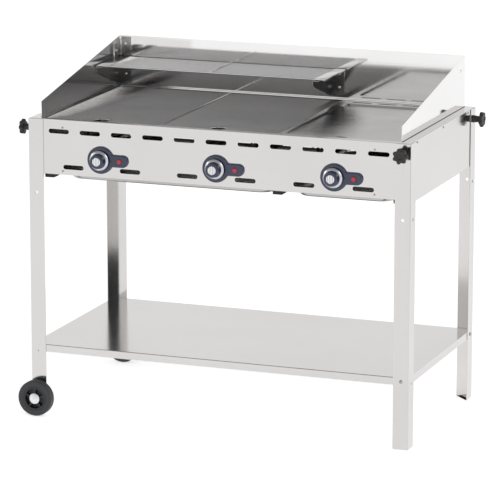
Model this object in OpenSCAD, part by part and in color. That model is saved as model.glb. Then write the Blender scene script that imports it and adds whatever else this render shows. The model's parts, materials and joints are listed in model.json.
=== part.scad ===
// Gas charbroiler on a wheeled stand: three burners under two wire grids and a griddle,
// with a wind shield, a warming rack, two grease pans and a lower shelf.
// Millimetres. Origin on the floor under the middle of the object, +X right, +Y back, +Z up.

/* [Overall] */
// Width over the outside of the legs
body_w = 1100; // [1000:10:1400]
// Depth over the outside of the legs
body_d = 588; // [578:1:720]
// Height of the cooking rim above the floor
rim_z = 836; // [700:1:1000]

/* [Legs and shelf] */
// Width of each flange of an angle leg
leg_w = 44; // [40:1:60]
// Thickness of the leg sheet
leg_t = 2; // [1.5:0.5:4]
// Diameter of the screw holes in the legs
leg_hole_d = 8.4; // [8.2:0.1:10]
// Drop of the fixing knobs below the rim
knob_drop = 30; // [26:1:45]
// Drop of the lower row of leg holes below the rim
spare_hole_drop = 207; // [170:1:240]
// Height of the shelf's top above the floor
shelf_z = 199; // [150:1:350]
// Depth of the shelf's folded edge
shelf_edge = 21; // [16:1:40]
// Length of the folded foot tab at the bottom of a leg
foot_tab = 26; // [10:1:34]

/* [Housing] */
// Thickness of the housing sheet
sheet_t = 1.5; // [1:0.1:2]
// Height of the front panel
front_h = 153; // [150:1:170]
// Height of the side panels
side_h = 161; // [150:1:180]
// Height of the rear panel
rear_h = 124; // [110:1:126]
// Width of the front panel's top flange
front_flange = 16; // [10:1:24]
// Length of a ventilation slot
slot_l = 60; // [40:1:70]
// Height of a ventilation slot
slot_h = 12.4; // [6:0.1:14]
// Spacing of the upper slots
slot_pitch = 92; // [80:1:120]
// Drop of the upper slots below the rim
slot_drop = 33; // [28:1:36]
// Spacing of the lower slots
low_slot_pitch = 167; // [150:1:180]
// Drop of the lower slots below the rim
low_slot_drop = 131; // [128:1:135]

/* [Wind shield and rack] */
// Height of the wind shield's back above the rim
shield_back_h = 144; // [120:1:220]
// Height of the wind shield's sides above the rim at the front
shield_front_h = 44; // [20:1:100]
// Distance from the legs' outside to the shield's side panels
shield_inset = 31; // [28:1:40]
// Height of the rack's bearing edge above the rim
rack_rise = 80; // [60:1:100]
// Length of the warming rack
rack_l = 682; // [500:1:760]
// Depth of the warming rack
rack_d = 182; // [120:1:200]
// Diameter of the rack wires
rack_wire_d = 4; // [3:0.5:5]
// Spacing of the rack wires
rack_pitch = 12; // [9:0.5:20]
// Width of the rack's end plates
rack_end_w = 30; // [16:1:40]

/* [Cooking inserts] */
// Thickness of the rails between the inserts
divider_t = 4; // [2:0.5:8]
// Gap around each insert
insert_gap = 1.5; // [1:0.25:4]
// Depth of the seat of the inserts below the rim
seat_drop = 12; // [11:0.5:16]
// Diameter of the grid wires
wire_d = 5; // [4:0.5:6]
// Spacing of the grid wires
wire_pitch = 12; // [9:0.5:20]
// Diameter of the bars under the grid wires
bar_d = 6; // [5:0.5:8]
// Width of the finger hole at the front of each insert
grip_w = 40; // [30:1:60]
// Depth of the finger hole
grip_d = 30; // [22:1:36]
// How far the finger hole sits left of the insert's middle
grip_shift = 8; // [0:1:20]
// Depth of the griddle's deck below its edge
deck_drop = 4; // [2:0.5:5]

/* [Burners and gas] */
// Diameter of the burner tubes
burner_d = 26; // [20:1:32]
// Spacing of the two tubes of a burner
burner_legs = 160; // [120:2:200]
// Diameter of the mixing tube
mixer_d = 24; // [20:1:26]
// Diameter of the gas manifold
manifold_d = 17; // [14:1:19]

/* [Controls] */
// Drop of the knob axes below the rim
dial_drop = 104; // [98:1:108]
// Diameter of the round part of a bezel
bezel_d = 76; // [60:1:80]
// Distance from a knob's axis to the igniter button
igniter_dx = 57; // [50:1:64]
// Diameter of the graduated dial ring
dial_d = 55; // [46:1:60]
// Diameter of the knob's grip
grip_knob_d = 43; // [30:1:44]
// Diameter of a valve stem
stem_d = 8; // [6:0.5:10]
// Travel of a valve stem when it is pushed in
push_travel = 4; // [2:0.5:5]
// Travel of an igniter button
button_travel = 6; // [3:0.5:7]

/* [Grease pans] */
// Length of the double pan over its rim
pan_double_l = 650; // [500:5:650]
// Length of the single pan over its rim
pan_single_l = 325; // [265:5:325]
// Depth of both pans front to back over the rim
pan_w = 530; // [500:5:540]
// Depth of the pans
pan_h = 32; // [20:1:60]
// Drop of the pans' rims below the cooking rim
pan_drop = 142; // [138:1:144]
// How far the pans sit right of the middle
pan_shift = 10; // [0:1:10]

/* [Wheels and knobs] */
// Diameter of the wheels
wheel_d = 100; // [80:1:125]
// Width of the wheels
wheel_w = 25; // [20:1:30]
// Diameter of a wheel axle
axle_d = 8; // [6:0.5:10]
// Diameter of the star grips over their lobes
star_d = 43; // [36:1:50]
// Height of a star grip
star_h = 31; // [24:1:40]
// Diameter of the studs that carry the star grips
stud_d = 8; // [6:0.5:8]

/* [Hidden] */

$fn = 48;
steel = "gainsboro";
fit = 0.05;             // radial clearance of a shaft that turns in its bore
rest_gap = 0.3;         // gap under a loose piece that rests on a seat
weld = 0.3;             // how deep welded wires sink into each other

half_w = body_w / 2;
half_d = body_d / 2;
shell_x = half_w - leg_t;             // outside of the housing
shell_y = half_d - leg_t;
front_y = -shell_y;                   // outside face of the front panel
panel_half = half_w - leg_w;          // half the front panel's visible width

// The well that holds the inserts
shield_x = half_w - shield_inset;     // outside of the shield's side panels
shield_slot = 1;                      // gap between a shield panel and the metal beside it
lip_w = 5.5;                          // width of the side rails' top lip
well_x = shield_x - sheet_t - shield_slot - lip_w;
well_front = front_y + front_flange;
shield_y = half_d - 5.5;              // outside of the shield's back panel
rear_lip = 15.5;
well_back = shield_y - sheet_t - shield_slot - 0.5 - rear_lip;
seat_z = rim_z - seat_drop;
ledge = 17;                           // how far the seats reach under the inserts
zone_w = (2 * well_x - 2 * divider_t) / 3;
zone_pitch = zone_w + divider_t;
insert_w = zone_w - 2 * insert_gap;
insert_y0 = well_front + insert_gap + 1;
insert_y1 = well_back - insert_gap;
insert_l = insert_y1 - insert_y0;
insert_z0 = seat_z + rest_gap;

// Burners, valves and controls share the knob axes
burner_pitch = zone_pitch - 6;
station = [-burner_pitch, 0, burner_pitch];
dial_z = rim_z - dial_drop;
bezel_t = 7.5;
bezel_y = front_y - bezel_t;
lobe_h = 34;
lobe_end = igniter_dx + 24;
button_d = 13;
button_hole_d = button_d + 1;
stem_hole_d = stem_d + 6;
dial_back = bezel_y - push_travel - 1.5;
dial_t = 5;
knob_face = dial_back - 20;
bore_depth = 11;
stem_tip = dial_back - bore_depth + 0.5;
valve_y0 = front_y + 8;
valve_l = 44;
manifold_z = dial_z + 26;
manifold_y = front_y + 30;
burner_z = dial_z + 28;
mixer_z = dial_z + 3;
header_y = half_d - 144;
tube_front = front_y + 92;
bar_front = tube_front + 14;
sensor_x = burner_legs / 2 - burner_d / 2 - 10;

// Pans and their rails
pan_rim_z = rim_z - pan_drop;
pan_rail_z = pan_rim_z - 1 - rest_gap;
rail_web = 3;
pan_slack = 6;                        // room for a pan between its rails, each side
rail_pitch_double = pan_double_l + 2 * pan_slack + rail_web;
rail_pitch_single = pan_single_l + 2 * pan_slack + rail_web;
rail_x = [
    pan_shift - (rail_pitch_double + rail_pitch_single) / 2,
    pan_shift + (rail_pitch_double - rail_pitch_single) / 2,
    pan_shift + (rail_pitch_double + rail_pitch_single) / 2
];
pan_double_x = (rail_x[0] + rail_x[1]) / 2;
pan_single_x = (rail_x[1] + rail_x[2]) / 2;

// Shield and rack
shield_z0 = seat_z + rest_gap;
shield_top = rim_z + shield_back_h;
rack_z = rim_z + rack_rise;           // bearing edge of the brackets
rack_x0 = -well_x;
rack_y1 = shield_y - sheet_t - 7;
rack_y0 = rack_y1 - rack_d;
rack_x1 = rack_x0 + rack_l;
bracket_t = 2;
bracket_flange = 30;
bracket_x = [-shield_x + 2 * sheet_t + bracket_t / 2 + 0.1, rack_x1 - 35];
bracket_top = [rack_z + 60, rack_z - 0.5];           // the corner one runs up behind the rack
bracket_screw_z = [[rack_z - 48, rack_z - 10, rack_z + 40], [rack_z - 48, rack_z - 10]];

// Wheels
wheel_x = -half_w + leg_w / 2;
wheel_gap = 9;
wheel_y0 = half_d + wheel_gap;
wheel_r = wheel_d / 2;
cap_d = 30;

// Corner k: 0 front right, 1 rear right, 2 rear left, 3 front left
corner = [[half_w, -half_d], [half_w, half_d], [-half_w, half_d], [-half_w, -half_d]];

// A cylinder along Y from y0 to y1
module along_y(d, y0, y1) {
    translate([0, y0, 0]) rotate([-90, 0, 0]) cylinder(d = d, h = y1 - y0);
}

// A cylinder along X from x0 to x1
module along_x(d, x0, x1) {
    translate([x0, 0, 0]) rotate([0, 90, 0]) cylinder(d = d, h = x1 - x0);
}

// A box from one corner to the opposite one
module block(p, q) {
    translate(p) cube(q - p);
}

// A flat slot with round ends, its length along X
module slot_2d(l, h) {
    for (s = [-1, 1]) translate([s * (l - h) / 2, 0]) circle(d = h);
    square([l - h, h], center = true);
}

// A rectangle with round corners
module round_rect(w, h, r) {
    square([w - 2 * r, h], center = true);
    square([w, h - 2 * r], center = true);
    for (sx = [-1, 1], sy = [-1, 1]) translate([sx * (w / 2 - r), sy * (h / 2 - r)]) circle(r = r);
}

// Puts a front-view outline upright, from y0 to y1
module upright(y0, y1) {
    translate([0, y1, 0]) rotate([90, 0, 0]) linear_extrude(y1 - y0) children();
}

// Stands children at corner k with the primary flange along -X
module at_corner(k) {
    translate([corner[k][0], corner[k][1], 0]) rotate([0, 0, 90 * k]) children();
}

// One hole through a flange of a leg, seen in its own corner frame
module flange_hole(z, primary, d = leg_hole_d) {
    c = leg_w / 2;
    if (primary) translate([-c, 0, z]) along_y(d, -1, leg_t + 1);
    else translate([0, c, z]) along_x(d, -leg_t - 1, 1);
}

module leg(k) {
    on_wheel = k >= 2;
    bottom = on_wheel ? wheel_r - 20 : 0;
    top = rim_z - sheet_t;
    color(steel) at_corner(k) {
        difference() {
            union() {
                block([-leg_w, 0, bottom], [0, leg_t, top]);
                block([-leg_t, 0, bottom], [0, leg_w, top]);
            }
            flange_hole(rim_z - knob_drop, true);
            for (side = [true, false]) flange_hole(rim_z - spare_hole_drop, side);
            flange_hole(shelf_z - shelf_edge / 2, true, 5.2);
            flange_hole(shelf_z - shelf_edge / 2 - 8, false, 5.2);
            if (on_wheel) flange_hole(wheel_r, k == 2, axle_d + 0.4);
        }
        if (!on_wheel) linear_extrude(leg_t)
            polygon([[-leg_t, leg_t], [-leg_t - foot_tab, leg_t], [-leg_t, leg_t + foot_tab]]);
    }
}

module leg_front_right() leg(0);
module leg_rear_right() leg(1);
module leg_rear_left() leg(2);
module leg_front_left() leg(3);

// Shelf with its edges folded down
module shelf() {
    color(steel) difference() {
        block([-shell_x, -shell_y, shelf_z - shelf_edge], [shell_x, shell_y, shelf_z]);
        block([-shell_x + sheet_t, -shell_y + sheet_t, shelf_z - shelf_edge - 1],
              [shell_x - sheet_t, shell_y - sheet_t, shelf_z - sheet_t]);
        for (k = [0:3]) at_corner(k) translate([-leg_w / 2, 0, shelf_z - shelf_edge / 2])
            along_y(5.2, leg_t - 1, leg_t + 5);
    }
}

panel_screw_x = panel_half - 57;
panel_screw_z = [rim_z - 22, rim_z - front_h + 10];
side_screw_y = [-shell_y + 59, -3, shell_y - 65];
side_screw_z = rim_z - 6;
slot_room = panel_half - 10 - slot_l / 2;
slot_steps = floor(slot_room / slot_pitch);
low_slot_pairs = floor(slot_room / low_slot_pitch + 0.5);

// The two rows of ventilation slots, in front view
module vent_rows(low) {
    for (i = [-slot_steps:slot_steps])
        translate([i * slot_pitch, rim_z - slot_drop]) slot_2d(slot_l, slot_h);
    if (low) for (i = [0:low_slot_pairs - 1], s = [-1, 1])
        translate([s * (i + 0.5) * low_slot_pitch, rim_z - low_slot_drop]) slot_2d(slot_l, slot_h);
}

module front_panel() {
    low = rim_z - front_h;
    color(steel) {
        difference() {
            block([-shell_x, front_y, low], [shell_x, front_y + sheet_t, rim_z]);
            upright(front_y - 1, front_y + sheet_t + 1) {
                vent_rows(true);
                for (x = station) {
                    translate([x, dial_z]) circle(d = stem_hole_d);
                    translate([x + igniter_dx, dial_z]) circle(d = button_hole_d);
                }
                for (s = [-1, 1], z = panel_screw_z) translate([s * panel_screw_x, z]) circle(d = 3.2);
                translate([half_w - leg_w / 2, rim_z - knob_drop]) circle(d = leg_hole_d);
            }
        }
        block([-shell_x, front_y + sheet_t, rim_z - sheet_t], [shell_x, well_front, rim_z]);
        block([-panel_half, front_y + sheet_t, low], [panel_half, front_y + 12, low + sheet_t]);
    }
}

module rear_panel() {
    inlet_x = -well_x + 22;
    color(steel) difference() {
        block([-shell_x, shell_y - sheet_t, rim_z - rear_h], [shell_x, shell_y, rim_z]);
        upright(shell_y - sheet_t - 1, shell_y + 1) {
            vent_rows(false);
            translate([inlet_x, manifold_z]) circle(d = manifold_d + 2);
            translate([leg_w / 2 - half_w, rim_z - knob_drop]) circle(d = leg_hole_d);
        }
    }
}

// Side panel on the right, with a stud hole at knob_y; its top flange leaves room for the shield
module side_sheet(knob_y) {
    inner = shield_x + shield_slot + 1;
    y0 = front_y + sheet_t;
    y1 = shell_y - sheet_t;
    difference() {
        block([shell_x - sheet_t, y0, rim_z - side_h], [shell_x, y1, rim_z - sheet_t]);
        translate([0, knob_y, rim_z - knob_drop]) along_x(leg_hole_d, shell_x - 3, shell_x + 1);
        for (y = side_screw_y) translate([0, y, side_screw_z]) along_x(3.2, shell_x - 3, shell_x + 1);
    }
    block([inner, well_front, rim_z - sheet_t], [shell_x, y1, rim_z]);
    block([inner, well_front, rim_z - 9], [inner + sheet_t, y1, rim_z - sheet_t]);
    block([shell_x - 14, y0, rim_z - side_h - sheet_t], [shell_x, y1, rim_z - side_h]);
}

module side_panel_right() color(steel) side_sheet(half_d - leg_w / 2);
module side_panel_left() color(steel) mirror([1, 0, 0]) side_sheet(leg_w / 2 - half_d);

// Small pan head screw along -Y, its head's back on y = 0
module pan_screw(d, length) {
    rotate([90, 0, 0]) {
        intersection() {
            cylinder(d = 2 * d, h = 0.6 * d);
            translate([0, 0, -1.2 * d]) sphere(r = 1.8 * d);
        }
        translate([0, 0, -length]) cylinder(d = d, h = length);
    }
}

// Screws of the front panel, the side panels and the shelf
module housing_screws() {
    color("silver") {
        for (s = [-1, 1], z = panel_screw_z) translate([s * panel_screw_x, front_y, z]) pan_screw(3, 6);
        for (s = [-1, 1], y = side_screw_y)
            translate([s * shell_x, y, side_screw_z]) rotate([0, 0, s * 90]) pan_screw(3, 6);
        for (k = [0:3]) at_corner(k)
            translate([-leg_w / 2, 0, shelf_z - shelf_edge / 2]) pan_screw(5, leg_t + sheet_t + 3);
    }
}

// Seat along each side of the well; the shield's side panel drops in behind it
module side_rails() {
    web_x = well_x + lip_w;
    color(steel) for (s = [0, 1]) mirror([s, 0, 0]) {
        block([well_x - ledge, well_front + 20, seat_z - sheet_t], [shell_x - sheet_t, well_back - 20, seat_z]);
        block([web_x - sheet_t, well_front, seat_z], [web_x, well_back, rim_z]);
        block([well_x, well_front, rim_z - sheet_t], [web_x - sheet_t, well_back, rim_z]);
    }
}

module front_rail() {
    back = front_y + sheet_t;
    color(steel) {
        block([-shell_x + sheet_t, back, seat_z - sheet_t], [shell_x - sheet_t, well_front + 20, seat_z]);
        block([-panel_half, back, seat_z - 7], [panel_half, back + sheet_t, seat_z - sheet_t]);
    }
}

module rear_rail() {
    web_y = well_back + rear_lip;
    side = well_x + lip_w;
    color(steel) {
        block([-shell_x + sheet_t, well_back - 20, seat_z - sheet_t], [shell_x - sheet_t, shell_y - sheet_t, seat_z]);
        block([-side, web_y - sheet_t, seat_z], [side, web_y, rim_z]);
        block([-side, well_back, rim_z - sheet_t], [side, web_y - sheet_t, rim_z]);
    }
}

// Rails between the inserts, with a seat on each side
module divider_rails() {
    color(steel) for (s = [-1, 1]) translate([s * zone_pitch / 2, 0, 0]) {
        block([-divider_t / 2, well_front + 0.5, seat_z], [divider_t / 2, well_back - 0.5, rim_z - 1]);
        block([-divider_t / 2 - ledge, well_front + 20, seat_z - sheet_t],
              [divider_t / 2 + ledge, well_back - 20, seat_z]);
        block([-divider_t / 2, well_front + 20, seat_z - 16], [divider_t / 2, well_back - 20, seat_z - sheet_t]);
    }
}

rail_y0 = front_y + 6;
rail_y1 = shell_y - 4;
foot_top = pan_rim_z - 13;
foot_h = 8;
foot_l = 40;

// Rails that carry the rims of the pans, hung from the front and rear panels
module pan_rails() {
    half = 16.5;                           // bears under the rims only, clear of the pan walls
    web = rail_web / 2;
    start = front_y + 12.5;
    low = rim_z - front_h;
    color(steel) for (x = rail_x) translate([x, 0, 0]) {
        block([-web, start, foot_top], [web, rail_y1, pan_rim_z + 3]);
        block([-web, rail_y0, foot_top], [web, start, low]);
        block([-web, rail_y1 - 12, foot_top], [web, shell_y - sheet_t, rim_z - rear_h + 6]);
        block([-half, rail_y0 + 18, pan_rail_z - sheet_t], [half, rail_y1, pan_rail_z]);
        block([-14, rail_y0, foot_top - sheet_t], [14, rail_y1, foot_top]);
    }
}

module rubber_feet() {
    color("#1c1c1c") for (x = rail_x, y = [rail_y0 + foot_l / 2 + 1, rail_y1 - foot_l / 2 - 1])
        translate([x, y, foot_top - sheet_t - foot_h]) linear_extrude(foot_h) round_rect(28, foot_l, 4);
}

// Burner: a mixing tube runs back to a header, and two ported tubes come forward from it
module burner(x) {
    port_n = 18;
    tube_l = header_y - tube_front;
    color("#8f8d88") translate([x, 0, 0]) {
        difference() {
            union() {
                translate([0, 0, mixer_z]) along_y(mixer_d, tube_front - 26, header_y);
                block([-burner_legs / 2 - 20, header_y, mixer_z - 14],
                      [burner_legs / 2 + 20, header_y + 30, burner_z + burner_d / 2 + 2]);
            }
            translate([0, 0, mixer_z]) along_y(mixer_d - 4, tube_front - 27, header_y + 20);
            translate([0, 0, mixer_z]) for (s = [-1, 1])
                block([min(s * 4, s * 20), tube_front - 18, -5], [max(s * 4, s * 20), tube_front - 2, 5]);
        }
        for (s = [-1, 1]) translate([s * burner_legs / 2, 0, burner_z]) difference() {
            along_y(burner_d, tube_front, header_y);
            along_y(burner_d - 4, tube_front + 2, header_y + 1);
            for (i = [0:port_n - 1], t = [-1, 1])
                translate([t * burner_d * 0.36, tube_front + tube_l * (i + 1) / (port_n + 1), burner_d * 0.36])
                    cube([8, 1.6, 8], center = true);
        }
    }
}

module burner_left() burner(station[0]);
module burner_middle() burner(station[1]);
module burner_right() burner(station[2]);

// Roof-shaped covers that keep fat off the burner tubes
module burner_covers() {
    half = 25;
    rise = 18;
    base = burner_z + burner_d / 2 + 9;
    color("#a3a19c") for (x = station, s = [-1, 1]) translate([x + s * burner_legs / 2, 0, base]) {
        upright(tube_front - 4, header_y - 6) difference() {
            polygon([[-half, 0], [0, rise], [half, 0]]);
            polygon([[-half + 2.4, 0], [0, rise - 1.8], [half - 2.4, 0], [half, -1], [-half, -1]]);
        }
        for (y = [tube_front + 6, header_y - 30])
            block([-4, y, -9 + 0.1], [4, y + 1.5, rise - 6]);
    }
}

// Cross bars that carry the burners
module burner_bars() {
    front = bar_front;
    top = burner_z - burner_d / 2 - 0.1;
    color(steel) {
        difference() {
            block([-shell_x + sheet_t, front, mixer_z - 20], [shell_x - sheet_t, front + 2, top]);
            for (x = station) translate([x, front - 1, mixer_z]) along_y(mixer_d + 0.6, 0, 4);
        }
        block([-shell_x + sheet_t, header_y + 5, mixer_z - 17.1], [shell_x - sheet_t, header_y + 25, mixer_z - 14.1]);
    }
}

// Gas pipe along the valves, back along the left side and out through the rear panel
module gas_manifold() {
    inlet_x = -well_x + 22;
    d = manifold_d;
    color("#b9b6ae") {
        translate([0, manifold_y, manifold_z]) along_x(d, inlet_x, station[2] + 40);
        translate([inlet_x, 0, manifold_z]) {
            translate([0, manifold_y, 0]) sphere(d = d + 5);
            along_y(d, manifold_y, shell_y + 4);
            translate([0, shell_y + 4, 0]) rotate([-90, 0, 0]) cylinder(d = d + 9, h = 9, $fn = 6);
            along_y(d - 4, shell_y + 13, shell_y + 25);
        }
    }
}

// Safety valves under the manifold; each has a true bore for its stem
module gas_valves() {
    low = dial_z - 15;
    top = manifold_z - manifold_d / 2 - 0.1;
    color("#c9b06a") for (x = station) translate([x, 0, 0]) {
        difference() {
            union() {
                block([-13, valve_y0, low], [13, valve_y0 + valve_l, top]);
                translate([0, 0, dial_z]) along_y(18, valve_y0 - 5, valve_y0);
            }
            translate([0, 0, dial_z]) along_y(stem_d + 2 * fit, valve_y0 - 6, valve_y0 + 32);
        }
    }
}

module injectors() {
    y0 = valve_y0 + valve_l;
    color("#d4b45c") for (x = station) translate([x, y0, mixer_z]) {
        rotate([-90, 0, 0]) cylinder(d = 12, h = 7, $fn = 6);
        along_y(9, 7, tube_front - 22 - y0);
    }
}

// Sensing rods on the front bar, beside each burner
module thermocouples() {
    color("#b5793f") for (x = station) translate([x + sensor_x, bar_front + 4.6, 0]) {
        translate([0, 0, burner_z - 32]) cylinder(d = 5, h = 44);
        translate([0, 0, burner_z - 12]) cylinder(d = 9, h = 7, $fn = 6);
    }
}

module spark_electrodes() {
    for (x = station) translate([x + sensor_x - 16, bar_front + 5.6, 0]) {
        color("ivory") translate([0, 0, burner_z - 32]) cylinder(d = 7, h = 34);
        color("silver") translate([0, 0, burner_z + 2]) cylinder(d = 2.4, h = 12);
    }
}

// Keyhole-shaped plates behind the knobs, each with a lobe for the igniter button
module bezels() {
    edge = 2.5;
    color("#20253a") for (x = station) translate([x, 0, dial_z]) difference() {
        union() {
            rotate([90, 0, 0]) translate([0, 0, -front_y]) rotate_extrude($fn = 96)
                polygon([[0, 0], [bezel_d / 2, 0], [bezel_d / 2, bezel_t - edge],
                         [bezel_d / 2 - 1, bezel_t - 0.8], [bezel_d / 2 - edge, bezel_t], [0, bezel_t]]);
            upright(bezel_y + 1.2, front_y) translate([lobe_end / 2, 0]) round_rect(lobe_end, lobe_h, 13);
            upright(bezel_y + 0.4, bezel_y + 1.2)
                translate([lobe_end / 2, 0]) round_rect(lobe_end - 1.2, lobe_h - 1.2, 12.4);
        }
        along_y(stem_hole_d, bezel_y - 1, front_y + 1);
        translate([igniter_dx, 0, 0]) along_y(button_hole_d, bezel_y - 1, front_y + 1);
    }
}

// Piezo igniters behind the front panel
module igniter_bodies() {
    back = front_y + sheet_t;
    color("#2b2b2b") for (x = station) translate([x + igniter_dx, 0, dial_z]) difference() {
        union() {
            along_y(18, back, back + 46);
            along_y(22, back, back + 4);
        }
        along_y(button_hole_d + 0.6, back - 1, back + 7);
        along_y(6 + 2 * fit, back + 6, back + 36);
    }
}

// Axle bolts with a sleeve behind the wheel and a domed cap in front
module wheel_axles() {
    face = wheel_gap + wheel_w;
    color("#c4c6c8") for (s = [0, 1]) mirror([0, s, 0]) translate([wheel_x, half_d, wheel_r]) {
        along_y(axle_d, -leg_t - 9, face + 1);
        along_y(16, 0.1, wheel_gap - 0.4);
        translate([0, -leg_t - 6.6, 0]) rotate([-90, 0, 0]) cylinder(d = 15, h = 6.4, $fn = 6);
        rotate([-90, 0, 0]) translate([0, 0, face + 0.4]) intersection() {
            cylinder(d = cap_d, h = 3.6);
            translate([0, 0, -30]) sphere(r = 33.6, $fn = 96);
        }
    }
}

// Studs fixed to the housing; the star grips turn on them
module grip_studs() {
    color("silver") for (k = [0:3]) at_corner(k) translate([-leg_w / 2, 0, rim_z - knob_drop]) {
        along_y(stud_d, -18, leg_t + sheet_t + 4);
        translate([0, leg_t + sheet_t, 0]) rotate([-90, 0, 0]) cylinder(d = 15, h = 6, $fn = 6);
    }
}

module valve_stem(i) {
    color("silver") translate([station[i], 0, dial_z]) along_y(stem_d, stem_tip, valve_y0 + 24);
}

module valve_stem_left() valve_stem(0);
module valve_stem_middle() valve_stem(1);
module valve_stem_right() valve_stem(2);

// Control knob with a bore for the stem, a tapering grip and a pointer rib
module knob(i) {
    r = grip_knob_d / 2;
    h = dial_back - knob_face;
    color("#262b45") translate([station[i], dial_back, dial_z]) rotate([90, 0, 0]) difference() {
        union() {
            rotate_extrude($fn = 96)
                polygon([[0, 0], [r, 0], [r, 6], [r - 1.2, h - 3], [r - 2.2, h - 0.8], [r - 3.6, h], [0, h]]);
            translate([0, 0, h - 6]) linear_extrude(7.2) translate([r - 6, 0]) slot_2d(9, 2.4);
        }
        translate([0, 0, -1]) cylinder(d = stem_d + 2 * fit, h = bore_depth + 1);
    }
}

module knob_left() knob(0);
module knob_middle() knob(1);
module knob_right() knob(2);

// Bevelled ring behind the grip
module dial(i) {
    r = dial_d / 2;
    hole = grip_knob_d / 2 + fit;
    color("silver") translate([station[i], dial_back, dial_z]) rotate([90, 0, 0]) rotate_extrude($fn = 96)
        polygon([[hole, 0], [r, 0], [r, 1.2], [hole + 1, dial_t], [hole, dial_t]]);
}

module dial_left() dial(0);
module dial_middle() dial(1);
module dial_right() dial(2);

module igniter_button(i) {
    back = front_y + sheet_t;
    cap_back = front_y - 2;
    color("crimson") translate([station[i] + igniter_dx, 0, dial_z]) {
        along_y(button_d, bezel_y - 3, cap_back);
        along_y(button_d - 2.4, bezel_y - 4, bezel_y - 3);
        along_y(6, cap_back, back + 22);
    }
}

module igniter_button_left() igniter_button(0);
module igniter_button_middle() igniter_button(1);
module igniter_button_right() igniter_button(2);

rim_d = 72;

// Puts a wheel piece at the front or rear left leg, outer face away from the leg
module at_wheel(s) {
    mirror([0, s, 0]) translate([wheel_x, -wheel_y0, wheel_r]) rotate([90, 0, 0]) children();
}

module tyre(s) {
    r = wheel_d / 2;
    b = 3;
    color("#3a3b3d") at_wheel(s) rotate_extrude($fn = 96)
        polygon([[rim_d / 2, 0], [r - b, 0], [r - 0.8, 1], [r, b], [r, wheel_w - b],
                 [r - 0.8, wheel_w - 1], [r - b, wheel_w], [rim_d / 2, wheel_w]]);
}

module tyre_front() tyre(0);
module tyre_rear() tyre(1);

// Wheel body: outer band, thin disc, spokes and a bored hub
module wheel_body(s) {
    spokes = 5;
    color("#161719") at_wheel(s) difference() {
        union() {
            difference() {
                cylinder(d = rim_d - 0.1, h = wheel_w, $fn = 96);
                translate([0, 0, -1]) cylinder(d = rim_d - 7, h = wheel_w + 2, $fn = 96);
            }
            translate([0, 0, wheel_w / 2 - 1.5]) cylinder(d = rim_d - 6, h = 3);
            translate([0, 0, 0.5]) cylinder(d = 22, h = wheel_w - 1);
            for (i = [0:spokes - 1]) rotate([0, 0, 360 / spokes * i])
                translate([10, -2.5, 3]) cube([rim_d / 2 - 13, 5, wheel_w - 6]);
        }
        translate([0, 0, -1]) cylinder(d = axle_d + 2 * fit, h = wheel_w + 2);
    }
}

module wheel_front() wheel_body(0);
module wheel_rear() wheel_body(1);

// Seven-lobed grip with a neck, bored for its stud
module star_grip(k) {
    lobes = 7;
    head = 12;
    r = star_d / 2;
    waist = r * 0.80;
    color("#191919") at_corner(k) translate([-leg_w / 2, -rest_gap, rim_z - knob_drop]) rotate([90, 0, 0])
        difference() {
            union() {
                cylinder(d1 = 21, d2 = 17, h = star_h - head);
                translate([0, 0, star_h - head]) linear_extrude(head - rest_gap) polygon([
                    for (i = [0:lobes - 1], j = [-2:2])
                        let (a = 360 / lobes * (i + j / 5), q = abs(j) == 2 ? waist : abs(j) == 1 ? r * 0.9 : r)
                        [q * cos(a), q * sin(a)]
                ]);
            }
            translate([0, 0, -1]) cylinder(d = stud_d + 2 * fit, h = 19);
            translate([0, 0, star_h - 3]) cylinder(d = 14, h = 4);
        }
}

module star_grip_front_right() star_grip(0);
module star_grip_rear_right() star_grip(1);
module star_grip_rear_left() star_grip(2);
module star_grip_front_left() star_grip(3);

grip_plate_w = grip_w + 14;
grip_plate_d = grip_d + 14;

// Wire grid: wires along X on bars along Y, with a finger plate at the front
module wire_grid(x) {
    margin = 6;
    n = floor((insert_l - 2 * margin) / wire_pitch) + 1;
    first = insert_y0 + (insert_l - (n - 1) * wire_pitch) / 2;
    wire_z = insert_z0 + bar_d + wire_d / 2 - weld;
    half = insert_w / 2;
    bar_x = half - 9;
    plate_end = insert_y0 + grip_plate_d;
    color("#8a8c8e") translate([x, 0, 0]) {
        for (i = [0:n - 1]) {
            y = first + i * wire_pitch;
            if (y > plate_end) translate([0, y, wire_z]) along_x(wire_d, -half, half);
            else for (s = [-1, 1]) {
                from = -grip_shift + s * (grip_plate_w / 2 - 3);
                translate([0, y, wire_z]) along_x(wire_d, min(from, s * half), max(from, s * half));
            }
        }
        for (bx = [-bar_x, -bar_x / 3, bar_x / 3, bar_x])
            translate([bx, 0, insert_z0 + bar_d / 2]) along_y(bar_d, insert_y0 + 1, insert_y1 - 1);
        translate([-grip_shift, insert_y0 + grip_plate_d / 2, wire_z - 1.5]) linear_extrude(3) difference() {
            square([grip_plate_w, grip_plate_d], center = true);
            slot_2d(grip_w, grip_d);
        }
    }
}

module grid_left() wire_grid(-zone_pitch);
module grid_middle() wire_grid(0);

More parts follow.
